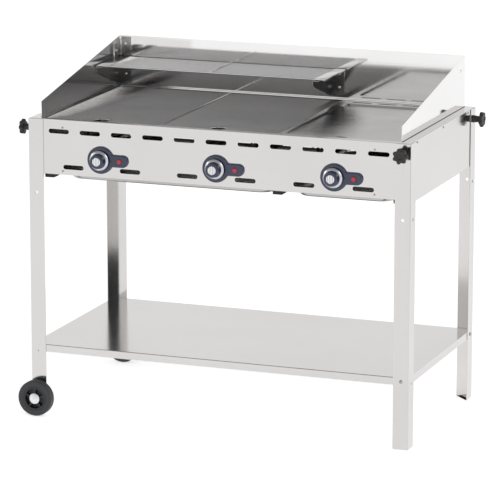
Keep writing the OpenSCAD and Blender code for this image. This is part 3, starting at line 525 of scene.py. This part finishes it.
def softSheet(node, width, fold, leastFace, suffix="Sheet", rounded=False):
    bm = merged([nodes[node].data])
    bmesh.ops.remove_doubles(bm, verts=bm.verts[:], dist=2e-6)
    bmesh.ops.dissolve_limit(bm, angle_limit=math.radians(0.6), verts=bm.verts[:], edges=bm.edges[:])
    bevelSharp(bm, width, wide=(fold, leastFace) if fold else None)
    mesh = meshFrom(bm, node + suffix)
    for face in () if rounded else mesh.polygons:
        # broad faces stay truly flat, only the eased edges are smooth
        longest = max((mesh.vertices[a].co - mesh.vertices[b].co).length for a, b in face.edge_keys)
        face.use_smooth = face.area < 2.6 * mm * longest
    install(linked(node + suffix, mesh, materialFor(node)), bodyOf[node], node)


for node, (ease, fold, least) in sheetStyle.items():
    softSheet(node, ease, fold, least)
for node, ease in roundStyle.items():
    softSheet(node, ease, 0, 5, suffix="Turned", rounded=True)
print("sheet metal and turned pieces eased:", len(sheetStyle) + len(roundStyle))


# Geometry Nodes helpers
def runTree(name, tree, values):
    # evaluates a tree on an empty holder and keeps the result as a plain mesh
    holder = bpy.data.objects.new(name, bpy.data.meshes.new(name + "Start"))
    scene.collection.objects.link(holder)
    build = holder.modifiers.new("build", "NODES")
    build.node_group = tree
    for item in tree.interface.items_tree:
        if item.item_type == "SOCKET" and item.in_out == "INPUT" and item.name in values:
            build[item.identifier] = values[item.name]
    mesh = bpy.data.meshes.new_from_object(holder.evaluated_get(bpy.context.evaluated_depsgraph_get()))
    bpy.data.objects.remove(holder)
    return mesh


def treeShell(name, inputs):
    return groupShell(name, "GeometryNodeTree", inputs + [("Material", "NodeSocketMaterial", None)],
                      [("Geometry", "NodeSocketGeometry")])


def closeTree(tree, place, given, result):
    flat = addNode(tree, "GeometryNodeRealizeInstances", {0: place.outputs[0]})
    dress = addNode(tree, "GeometryNodeSetMaterial", {"Geometry": flat.outputs[0], "Material": given["Material"]})
    feedNode(tree, result, {0: dress.outputs[0]})
    return tree


def buildRodTree():
    # a straight row of round rods
    tree, given, result = treeShell("rodRow", [
        ("Length", "NodeSocketFloat", 0.3), ("Radius", "NodeSocketFloat", 0.0025), ("Count", "NodeSocketInt", 10),
        ("First", "NodeSocketVector", None), ("Step", "NodeSocketVector", None), ("Turn", "NodeSocketVector", None),
        ("Sides", "NodeSocketInt", 14)])
    row = addNode(tree, "GeometryNodeMeshLine", {
        "Count": given["Count"], "Start Location": given["First"], "Offset": given["Step"]}, mode="OFFSET")
    rod = addNode(tree, "GeometryNodeMeshCylinder", {
        "Vertices": given["Sides"], "Radius": given["Radius"], "Depth": given["Length"]}, fill_type="NGON")
    place = addNode(tree, "GeometryNodeInstanceOnPoints", {
        "Points": row.outputs[0], "Instance": rod.outputs["Mesh"], "Rotation": given["Turn"]})
    return closeTree(tree, place, given, result)


def buildRingTree():
    # copies of one shape round a circle about Z, at start + index * sweep / count
    tree, given, result = treeShell("shapeRing", [
        ("Shape", "NodeSocketObject", None), ("Count", "NodeSocketInt", 8), ("Radius", "NodeSocketFloat", 0.02),
        ("Start Angle", "NodeSocketFloat", 0.0), ("Sweep", "NodeSocketFloat", 6.283185)])
    shape = addNode(tree, "GeometryNodeObjectInfo", {"Object": given["Shape"]})
    row = addNode(tree, "GeometryNodeMeshLine", {"Count": given["Count"]}, mode="OFFSET")
    index = addNode(tree, "GeometryNodeInputIndex")
    each = addNode(tree, "ShaderNodeMath", {0: given["Sweep"], 1: given["Count"]}, operation="DIVIDE")
    angle = addNode(tree, "ShaderNodeMath", {0: index.outputs[0], 1: each.outputs[0], 2: given["Start Angle"]},
                    operation="MULTIPLY_ADD")
    turn = addNode(tree, "ShaderNodeCombineXYZ", {"Z": angle.outputs[0]})
    out = addNode(tree, "ShaderNodeCombineXYZ", {"X": given["Radius"]})
    spin = addNode(tree, "ShaderNodeVectorRotate", rotation_type="Z_AXIS")
    feedNode(tree, spin, {"Vector": out.outputs[0], "Angle": angle.outputs[0]})
    move = addNode(tree, "GeometryNodeSetPosition", {"Geometry": row.outputs[0], "Position": spin.outputs[0]})
    place = addNode(tree, "GeometryNodeInstanceOnPoints", {
        "Points": move.outputs[0], "Instance": shape.outputs["Geometry"], "Rotation": turn.outputs[0]})
    return closeTree(tree, place, given, result)


def buildPointTree():
    # one copy of a shape on every point of another mesh, turned to the way that the point faces
    tree, given, result = treeShell("onPoints", [
        ("Points", "NodeSocketObject", None), ("Shape", "NodeSocketObject", None), ("Seed", "NodeSocketInt", 3)])
    spots = addNode(tree, "GeometryNodeObjectInfo", {"Object": given["Points"]})
    shape = addNode(tree, "GeometryNodeObjectInfo", {"Object": given["Shape"]})
    facing = addNode(tree, "GeometryNodeInputNamedAttribute", {"Name": "facing"}, data_type="FLOAT_VECTOR")
    align = addNode(tree, "FunctionNodeAlignRotationToVector", {"Vector": facing.outputs["Attribute"]}, axis="Z")
    spin = addNode(tree, "FunctionNodeRandomValue", {3: 1.5, "Seed": given["Seed"]}, data_type="FLOAT")
    twist = addNode(tree, "ShaderNodeCombineXYZ", {"Z": spin.outputs[1]})
    turn = addNode(tree, "FunctionNodeRotateRotation", {"Rotation": align.outputs[0], "Rotate By": twist.outputs[0]},
                   rotation_space="LOCAL")
    place = addNode(tree, "GeometryNodeInstanceOnPoints", {
        "Points": spots.outputs["Geometry"], "Instance": shape.outputs["Geometry"], "Rotation": turn.outputs[0]})
    return closeTree(tree, place, given, result)


rodTree, ringTree, pointTree = buildRodTree(), buildRingTree(), buildPointTree()
rodSides = 14
alongX, alongY = (0.0, math.radians(90), 0.0), (math.radians(90), 0.0, 0.0)


def rods(name, material, turn, length, diameter, count, first, step=(0, 0, 0)):
    # a row of rods, sizes in millimetres
    return runTree(name, rodTree, {
        "Length": length * mm, "Radius": diameter / 2 * mm, "Count": count, "Sides": rodSides, "Turn": turn,
        "First": Vector(first) * mm, "Step": Vector(step) * mm, "Material": mats[material]})


# Wire grids, each with a finger plate that has a rounded hole
gridLook = {"wire": 5.0, "pitch": 12.0, "bar": 6.0, "edge": 9.0, "endGap": 12.0, "plate": (54.0, 44.0, 3.0),
            "hole": (40.0, 30.0), "shift": -8.0}


def buildGrid(name, node):
    low, high = boxMm(node)
    look = gridLook
    wire, pitch, edge = look["wire"], look["pitch"], look["edge"]
    plateW, plateD, plateT = look["plate"]
    holeW, holeD = look["hole"]
    width, length = high.x - low.x, high.y - low.y
    midX, half, wireZ = (low.x + high.x) / 2, width / 2, high.z - wire / 2
    count = int((length - look["endGap"]) / pitch) + 1
    firstY = low.y + (length - (count - 1) * pitch) / 2
    cut = sum(firstY + i * pitch <= low.y + plateD for i in range(count))    # wires that stop at the plate
    plateX = midX + look["shift"]
    step = (0, pitch, 0)
    parts = [rods(name + "Long", "wire", alongX, width, wire, count - cut, (midX, firstY + cut * pitch, wireZ), step)]
    for side in (-1, 1):
        inner, outer = plateX + side * (plateW / 2 - 3), midX + side * half
        parts.append(rods(name + "Short", "wire", alongX, abs(outer - inner), wire, cut,
                          ((inner + outer) / 2, firstY, wireZ), step))
    parts.append(rods(name + "Bars", "wire", alongY, length - 2, look["bar"], 4,
                      (midX - half + edge, (low.y + high.y) / 2, low.z + look["bar"] / 2),
                      (2 * (half - edge) / 3, 0, 0)))
    bm = merged(parts)
    bevelSharp(bm, 0.8, angle=60.0)
    hole, outline = (holeW, holeD, holeD * 0.49), (plateW, plateD, 2)
    plate = loft([roundRect(*hole, 0), roundRect(*outline, 0), roundRect(*outline, plateT), roundRect(*hole, plateT),
                  roundRect(*hole, 0)], closedEnds=False)
    bmesh.ops.remove_doubles(plate, verts=plate.verts[:], dist=2e-5)
    bevelSharp(plate, 0.5)
    absorb(bm, moved(plate, (plateX, low.y + plateD / 2, wireZ - plateT / 2)))
    addPiece(name, bm, "wire", node)


buildGrid("gridLeftWires", "grid_left")
buildGrid("gridMiddleWires", "grid_middle")
print("wire grids built")

# Warming rack: wires between two channels that are open below
rackLook = {"wire": 4.0, "edgeWire": 5.0, "endWidth": 30.0, "sheet": 1.5, "inset": 7.0, "pitch": 12.0}


def buildRack():
    low, high = boxMm("warming_rack")
    look = rackLook
    wire, sheet, inset = look["wire"], look["sheet"], look["inset"]
    depth, length = high.y - low.y, high.x - low.x - 8
    count = int((depth - 2 * inset) / look["pitch"] + 0.001)
    step = (depth - 2 * inset) / count
    midX, wireZ, top = (low.x + high.x) / 2, low.z + wire / 2, low.z + wire + sheet
    bm = merged([
        rods("rackWires", "rackWire", alongX, length, wire, count - 1, (midX, low.y + inset + step, wireZ),
             (0, step, 0)),
        rods("rackEdges", "rackWire", alongX, length, look["edgeWire"], 2, (midX, low.y + inset, wireZ + 0.5),
             (0, count * step, 0)),
        rods("rackBar", "rackWire", alongY, depth - 6, wire, 1, (midX, (low.y + high.y) / 2, wireZ + wire - 0.3))])
    bevelSharp(bm, 0.6, angle=60.0)
    for x in (low.x, high.x - look["endWidth"]):
        end = x + look["endWidth"]
        outline = [(x, low.z), (x, top), (end, top), (end, low.z), (end - sheet, low.z), (end - sheet, top - sheet),
                   (x + sheet, top - sheet), (x + sheet, low.z)]
        channel = loft([[(px, y, pz) for px, pz in outline] for y in (low.y, high.y)])
        bmesh.ops.recalc_face_normals(channel, faces=channel.faces[:])
        bevelSharp(channel, 0.3, wide=(1.4, 4))
        absorb(bm, channel)
    addPiece("warmingRackWires", bm, "rackWire", "warming_rack")


buildRack()
print("warming rack built")

# Grease pans: drawn shells with a rolled rim
panLook = {"wall": 0.9, "lip": 12.0, "corner": 30.0, "bodyCorner": 50.0, "footRise": 12.0}
panFoot = ((46.0, 0.0), (38.0, 1.0), (33.5, 3.6), (30.6, 7.5), (28.0, panLook["footRise"]))    # shrink, height


def buildPan(name, node):
    low, high = boxMm(node)
    w, d, h = high - low
    wall, lip, corner, bodyCorner = (panLook[key] for key in ("wall", "lip", "corner", "bodyCorner"))
    bodyW, bodyD = w - 2 * lip, d - 2 * lip

    def shell(inset):
        rings = []
        for shrink, z in (*panFoot, (4.0, h - 4.0), (1.2, h - 1.4)):
            less = shrink + 2 * inset
            rings.append(roundRect(bodyW - less, bodyD - less, bodyCorner - shrink * 0.35 - inset,
                                   low.z + min(z + inset, h - 1.0)))
        return rings

    rim = [roundRect(bodyW + 1, bodyD + 1, bodyCorner, high.z - wall)]
    for shrink, drop in ((1.2, wall), (0.4, 0.7), (0.0, 0.45), (0.5, 0.1), (1.6, 0.0)):
        rim.append(roundRect(w - shrink, d - shrink, corner, high.z - drop))
    rim.append(roundRect(bodyW + 0.5, bodyD + 0.5, bodyCorner, high.z))
    bm = moved(loft(shell(0.0) + rim + shell(wall)[::-1]), ((low.x + high.x) / 2, (low.y + high.y) / 2, 0))
    addPiece(name, bm, "pan", node, angle=50.0)


buildPan("doublePanShell", "pan_double")
buildPan("singlePanShell", "pan_single")
print("pans built")

# Controls: bezel, dial, knob and igniter button for each burner
controlLook = {"bezelRadius": 37.8, "lobeHeight": 34.0, "lobeEnd": 81.0, "lobeCorner": 16.2, "fillet": 7.0,
               "bore": 7.0, "dotAt": 32.2, "ticks": 13, "tickArc": 4.2, "tickRadius": 25.2, "markRadius": 11.5,
               "markBars": 5, "markGap": 1.0, "igniter": 57.0}
bezelEdge = ((0.0, 0.0), (0.0, 4.4), (0.25, 5.6), (0.9, 6.6), (1.9, 7.25), (3.2, 7.5))    # inset, height
burnerPlaces = ("left", "middle", "right")


def arc(cx, cy, radius, start, end, steps, first=0):
    angles = [start + (end - start) * i / steps for i in range(first, steps + 1)]
    return [(cx + radius * math.cos(a), cy + radius * math.sin(a)) for a in angles]


def bezelOutline(inset):
    # round plate running into a lobe on the right, with a small fillet where they meet
    look = controlLook
    r, half, fillet = look["bezelRadius"] - inset, look["lobeHeight"] / 2 - inset, look["fillet"] + inset
    corner, end = max(look["lobeCorner"] - inset, 1.0), look["lobeEnd"] - inset
    cy = half + fillet
    cx = math.sqrt((r + fillet) ** 2 - cy ** 2)
    join = math.atan2(cy, cx)
    upper = arc(0, 0, r, join, math.pi, 56)[::-1]
    upper += arc(cx, cy, -fillet, join, math.pi / 2, 7, first=1)
    upper += arc(end - corner, half - corner, corner, math.pi / 2, 0, 10)
    return upper + [(x, -y) for x, y in upper[::-1]][:-1]


def shapeObject(name, bm, material="white"):
    return linked(name, meshFrom(bm, name), mats[material])


def drilled(obj, x, z, radius, y0, y1):
    # cuts a round hole along Y
    tool = lathe([(0, 0), (radius, 0), (radius, y1 - y0), (0, y1 - y0)], sides=48)
    cutAway(obj, shapeObject("cutter", moved(tool, (x, y1, z), faceFront), "navy"))


def buildBezels():
    low, high = boxMm("bezels")
    look = controlLook
    parts, dots = [], []
    for side in burnerPlaces:
        centre = sum(boxMm("valve_stem_" + side), Vector()) / 2
        bm = loft([[(x, y, z) for x, y in bezelOutline(inset)] for inset, z in bezelEdge])
        plate = shapeObject("plate" + side, moved(bm, (centre.x, high.y, centre.z), faceFront), "navy")
        for x in (centre.x, centre.x + look["igniter"]):
            drilled(plate, x, centre.z, look["bore"], low.y - 2, high.y + 2)
        parts.append(plate.data.copy())
        bpy.data.objects.remove(plate)
        dot = lathe([(0, 0), (1.5, 0), (1.3, 0.25), (0, 0.25)], sides=20)
        dots.append(meshFrom(moved(dot, (centre.x + look["dotAt"], low.y + 0.25, centre.z), faceFront), "dot"))
    install(joined("bezelPlates", parts, "navy", 40.0), bodyOf["bezels"], "bezels")
    install(joined("bezelDots", dots, "white"), bodyOf["bezels"], slot="navy")


def buildTicks():
    tick = shapeObject("tick", loft([roundRect(3.0, 0.9, 0.2, z, 2) for z in (0, 0.3)]))
    ticks = runTree("dialTicks", ringTree, {
        "Shape": tick, "Count": controlLook["ticks"], "Radius": controlLook["tickRadius"] * mm,
        "Sweep": controlLook["tickArc"], "Start Angle": 0.9, "Material": mats["navy"]})
    bpy.data.objects.remove(tick)
    return moved(merged([ticks]), (0, 0, 2.25))


def buildMark():
    # a printed disc made of plain bars
    r, bars, gap = controlLook["markRadius"], controlLook["markBars"], controlLook["markGap"]
    shapes = []
    for k in range(bars):
        lo, hi = -r + 2 * r * k / bars + gap / 2, -r + 2 * r * (k + 1) / bars - gap / 2
        top = [(x, math.sqrt(max(r * r - x * x, 0.01))) for x in (lo + (hi - lo) * i / 8 for i in range(9))]
        ring = top + [(x, -y) for x, y in top[::-1]]
        shapes.append(loft([[(x, y, z) for x, y in ring[::-1]] for z in (0.0, 0.35)]))
    return shapes


def buildControl(side):
    low, high = boxMm("dial_" + side)
    knobLow, knobHigh = boxMm("knob_" + side)
    centre = (low + high) / 2
    back, face = (centre.x, high.y, centre.z), (centre.x, knobLow.y + 1.2, centre.z)
    rDial, rKnob = (high.x - low.x) / 2, (knobHigh.x - knobLow.x) / 2
    height, bore = high.y - knobLow.y, rKnob + 0.05
    # silver dial ring with ticks
    bm = latheRing([(bore, 0), (rDial - 0.6, 0), (rDial, 0.5), (rDial, 1.3), (rDial - 0.5, 2.0), (rKnob + 1.6, 4.7),
                    (rKnob + 0.9, 5.0), (bore, 5.0)])
    addPiece("dialRing_" + side, moved(bm, back, faceFront), "dial", "dial_" + side)
    # grip: a stepped core
    bm = lathe([(0, 0), (rKnob - 0.4, 0), (rKnob, 0.6), (rKnob, 6.0), (rKnob - 0.7, 7.0), (rKnob - 1.6, height - 4.6),
                (rKnob - 2.3, height - 2.6), (rKnob - 4.2, height - 1.5), (rKnob - 7.0, height - 1.25),
                (0, height - 1.2)], sides=96)
    addPiece("knobGrip_" + side, moved(bm, back, faceFront), "navy", "knob_" + side)
    ticks = shapeObject("dialTicks_" + side, moved(buildTicks(), back, faceFront), "navy")
    install(ticks, bodyOf["dial_" + side], slot="navy")
    bars = [meshFrom(moved(bar, face, faceFront), "bar") for bar in buildMark()]
    install(joined("knobMark_" + side, bars, "white"), bodyOf["knob_" + side], slot="navy")
    # red igniter button with a dished face
    low, high = boxMm("igniter_button_" + side)
    centre = (low + high) / 2
    r, length = (high.x - low.x) / 2, high.y - low.y
    bm = lathe([(0, 0), (3, 0), (3, length - 11.5), (r - 0.3, length - 11.5), (r, length - 11.2), (r, length - 1.6),
                (r - 0.35, length - 0.7), (r - 1.1, length - 0.15), (r - 2.0, length), (r - 3.4, length - 0.35),
                (0, length - 0.8)], sides=48)
    bm = moved(bm, (centre.x, high.y, centre.z), faceFront)
    addPiece("igniterCap_" + side, bm, "red", "igniter_button_" + side)


buildBezels()
for side in burnerPlaces:
    buildControl(side)
print("controls built")

# Star grips on the corners
starLook = {"lobes": 7, "radius": 21.5, "flute": 4.6, "head": 12.0, "neckFoot": 10.5, "neckTop": 8.5, "points": 12}


def buildStar(node, direction):
    low, high = boxMm(node)
    look = starLook
    axis = 0 if abs(direction.x) > 0.5 else 1
    height = (high - low)[axis]
    start = Vector(next(j for j in frame["joints"] if j["child"] == bodyOf[node])["pos_m"]) / mm
    start[axis] = low[axis] if direction[axis] > 0 else high[axis]
    n = look["lobes"] * look["points"]
    foot, neckFoot, neckTop = height - look["head"], look["neckFoot"], look["neckTop"]

    def ring(inset, z, lobed=1.0):
        def radius(a):
            flute = look["flute"] * lobed * (0.5 - 0.5 * math.cos(look["lobes"] * a)) ** 1.3
            return look["radius"] - flute - inset
        return around(n, radius, z)

    neck = ((neckFoot - 0.4, 0), (neckFoot, 0.4), (neckFoot - 0.5, 3.0), (neckTop, foot - 2.2),
            (neckTop + 1.2, foot - 0.5))
    rings = [around(n, r, z) for r, z in neck]
    rings += [ring(7.5, foot + 0.3, 0.5), ring(2.2, foot + 0.9, 0.9), ring(0.7, foot + 1.8), ring(0.0, foot + 3.4),
              ring(0.0, height - 3.6), ring(0.6, height - 1.9), ring(1.9, height - 0.7, 0.95),
              ring(4.2, height - 0.1, 0.8), ring(7.5, height, 0.5)]
    rings += [around(n, r, height - drop) for r, drop in ((8.4, 0.1), (7.6, 0.7), (6.9, 1.8), (2.0, 2.0))]
    turn = direction.to_track_quat("Z", "Y").to_matrix().to_4x4()
    addPiece(node + "Lobes", moved(loft(rings), start, turn), "black_plastic", node, angle=50.0)


for node, way in (("star_grip_front_right", (0, -1, 0)), ("star_grip_rear_right", (1, 0, 0)),
                  ("star_grip_rear_left", (0, 1, 0)), ("star_grip_front_left", (-1, 0, 0))):
    buildStar(node, Vector(way))
print("star grips built")

# Wheels: a grooved tyre on a spoked body
wheelLook = {"spokes": 5, "groove": 0.9, "hub": 11.0, "bore": 4.05, "rimWall": 8.0, "shoulder": 5.0,
             "spokeWidth": (5.6, 5.0)}


def buildWheel(place, outward):
    look = wheelLook
    low, high = boxMm("tyre_" + place)
    rimLow, rimHigh = boxMm("wheel_" + place)
    r, w, rimR = (high.x - low.x) / 2, high.y - low.y, (rimHigh.x - rimLow.x) / 2
    turn = Matrix.Rotation(math.radians(90 * outward), 4, "X")    # local Z points away from the stand
    start = ((low.x + high.x) / 2, high.y if outward > 0 else low.y, (low.z + high.z) / 2)
    s, hub, inner = look["shoulder"], look["hub"], rimR - look["rimWall"]

    def mirrored(half):
        return latheRing(half + [(x, w - z) for x, z in half[::-1]])

    tyre = mirrored([
        (rimR + 0.05, 0.3), (rimR + 0.6, 0.0), (rimR + 5.4, 0.0), (rimR + 6.2, 0.7), (rimR + 7.0, 0.7),
        (rimR + 7.8, 0.0), (r - s, 0.0), (r - s * 0.45, 0.5), (r - s * 0.12, 1.9), (r - 0.1, 3.4), (r, 5.0),
        (r, w / 2 - 1.2), (r - look["groove"], w / 2 - 0.5)])
    addPiece("tyreTread_" + place, moved(tyre, start, turn), "tyre", "tyre_" + place)

    rim = mirrored([
        (rimR, 0.4), (rimR - 0.4, 0.0), (inner + 0.5, 0.0), (inner, 0.5), (inner - 0.4, w / 2 - 2.4),
        (inner - 1.4, w / 2 - 1.4), (hub + 1.2, w / 2 - 1.4), (hub, w / 2 - 2.4), (hub - 0.3, 1.0), (hub - 0.9, 0.5),
        (look["bore"], 0.5)])
    bmesh.ops.recalc_face_normals(rim, faces=rim.faces[:])
    parts = [bpy.data.meshes.new("rim")]
    rim.to_mesh(parts[0])
    rim.free()
    wide, narrow = look["spokeWidth"]
    for ends in (((2.6, narrow), (w / 2 - 1.0, wide)), ((w / 2 + 1.0, wide), (w - 2.6, narrow))):
        rib = loft([roundRect(inner - hub + 1.5, width, 1.0, z, 3) for z, width in ends])
        bevelSharp(rib, 0.6)
        shape = shapeObject("spoke", rib)
        parts.append(runTree("spokes", ringTree, {
            "Shape": shape, "Count": look["spokes"], "Radius": (inner + hub) / 2 * mm, "Start Angle": 0.3,
            "Material": mats["black_plastic"]}))
        bpy.data.objects.remove(shape)
    body = joined("wheelRim_" + place, parts, "black_plastic", 40.0)
    body.data.transform(Matrix.Translation(Vector(start) * mm) @ turn)
    install(body, bodyOf["wheel_" + place], "wheel_" + place)


buildWheel("front", 1)
buildWheel("rear", -1)
print("wheels built")

# Screws: pan heads with a cross recess; the outline is in shares of the shank's diameter
screwLook = {"head": ((0.96, 0.0), (1.0, 0.06), (0.97, 0.26), (0.82, 0.44), (0.55, 0.56), (0.25, 0.6), (0, 0.6)),
             "recess": (1.05, 0.2, 0.04), "recessDepth": (0.28, 0.8), "seed": 7}


def screwShape(size, shank):
    # the head's underside is on z = 0
    outline = [(0, -shank), (size * 0.42, -shank), (size * 0.5, 0.4 - shank), (size * 0.5, 0)]
    outline += [(size * r, size * z) for r, z in screwLook["head"]]
    obj = shapeObject("screw", lathe(outline, sides=24), "zinc")
    for angle in (0, 90):
        slot = loft([roundRect(*(size * v for v in screwLook["recess"]), size * z, 2)
                     for z in screwLook["recessDepth"]])
        slot.transform(Matrix.Rotation(math.radians(angle), 4, "Z"))
        cutAway(obj, shapeObject("slotCutter", slot, "zinc"))
    return obj


screwPlaces = {    # distances in millimetres from the edges of the pieces that they hold
    "panelIn": 57.0, "panelDrop": 22.0, "panelRise": 10.0, "sideDrop": 6.0, "sideFront": 59.0, "sideMiddle": -3.0,
    "sideRear": 65.0, "bracketIn": (16.0, 15.0), "bracketLifts": ((-48, -10, 40), (-48, -10)), "backSheet": 3.5,
    "cornerIn": 39.5, "cornerDrop": 39.0, "cornerSheet": 3.0,
}


def placeScrews(name, shape, spots):
    # spots are (point in millimetres, facing) pairs
    mesh = bpy.data.meshes.new(name + "Spots")
    mesh.from_pydata([Vector(p) * mm for p, _ in spots], [], [])
    facing = mesh.attributes.new("facing", "FLOAT_VECTOR", "POINT")
    facing.data.foreach_set("vector", [c for _, way in spots for c in way])
    holder = bpy.data.objects.new(name + "Spots", mesh)
    scene.collection.objects.link(holder)
    result = runTree(name, pointTree, {"Points": holder, "Shape": shape, "Seed": screwLook["seed"],
                                       "Material": mats["zinc"]})
    bpy.data.objects.remove(holder)
    bpy.data.objects.remove(shape)
    return result


def buildHousingScrews():
    panelLow, panelHigh = boxMm("front_panel")
    _, sideHigh = boxMm("side_panel_right")
    legLow, legHigh = boxMm("leg_front_right")
    shelfLow, shelfHigh = boxMm("shelf")
    at = screwPlaces
    panelX, front = legLow.x - at["panelIn"], panelLow.y
    spots = [((s * panelX, front, z), (0, -1, 0)) for s in (-1, 1)
             for z in (panelHigh.z - at["panelDrop"], panelLow.z + at["panelRise"])]
    for s in (-1, 1):
        for y in (front + at["sideFront"], at["sideMiddle"], -front - at["sideRear"]):
            spots.append(((s * sideHigh.x, y, panelHigh.z - at["sideDrop"]), (s, 0, 0)))
    midX, midY, z = (legLow.x + legHigh.x) / 2, -(legLow.y + legHigh.y) / 2, (shelfLow.z + shelfHigh.z) / 2
    outX, outY = legHigh.x, -legLow.y
    parts = [placeScrews("panelScrews", screwShape(3.0, 5.8), spots),
             placeScrews("shelfScrews", screwShape(5.0, 6.2), [
                 ((midX, -outY, z), (0, -1, 0)), ((outX, midY, z), (1, 0, 0)), ((-midX, outY, z), (0, 1, 0)),
                 ((-outX, -midY, z), (-1, 0, 0))])]
    install(joined("housingScrewHeads", parts, "zinc"), bodyOf["housing_screws"], "housing_screws")


def buildShieldScrews():
    # screws with nuts through the shield's back and its two corner flanges
    _, back = boxMm("shield_back")
    _, sideHigh = boxMm("shield_sides")
    bracketLow, bracketHigh = boxMm("rack_brackets")
    at = screwPlaces
    rackZ = boxMm("warming_rack")[0].z - 0.3    # top of the brackets under the rack
    columns = (bracketLow.x + at["bracketIn"][0], bracketHigh.x - at["bracketIn"][1])
    spots, nuts = [], []
    for x, lifts in zip(columns, at["bracketLifts"]):
        for lift in lifts:
            spots.append(((x, back.y - at["backSheet"], rackZ + lift), (0, -1, 0)))
            nuts.append(((x, back.y, rackZ + lift), (0, 1, 0)))
    y, z = back.y - at["cornerIn"], back.z - at["cornerDrop"]
    for s in (-1, 1):
        spots.append(((s * sideHigh.x, y, z), (s, 0, 0)))
        nuts.append(((s * (sideHigh.x - at["cornerSheet"]), y, z), (-s, 0, 0)))
    nut = loft([around(6, r, z) for r, z in ((3.7, 0), (4.0, 0.3), (4.0, 2.7), (3.6, 3.15))])
    bevelSharp(nut, 0.25)
    parts = [placeScrews("shieldScrewHeads", screwShape(4.0, 8.2), spots),
             placeScrews("shieldNuts", shapeObject("nut", nut), nuts)]
    install(joined("shieldScrewSet", parts, "screwBright"), bodyOf["shield_screws"], "shield_screws")


buildHousingScrews()
buildShieldScrews()
print("screws built")
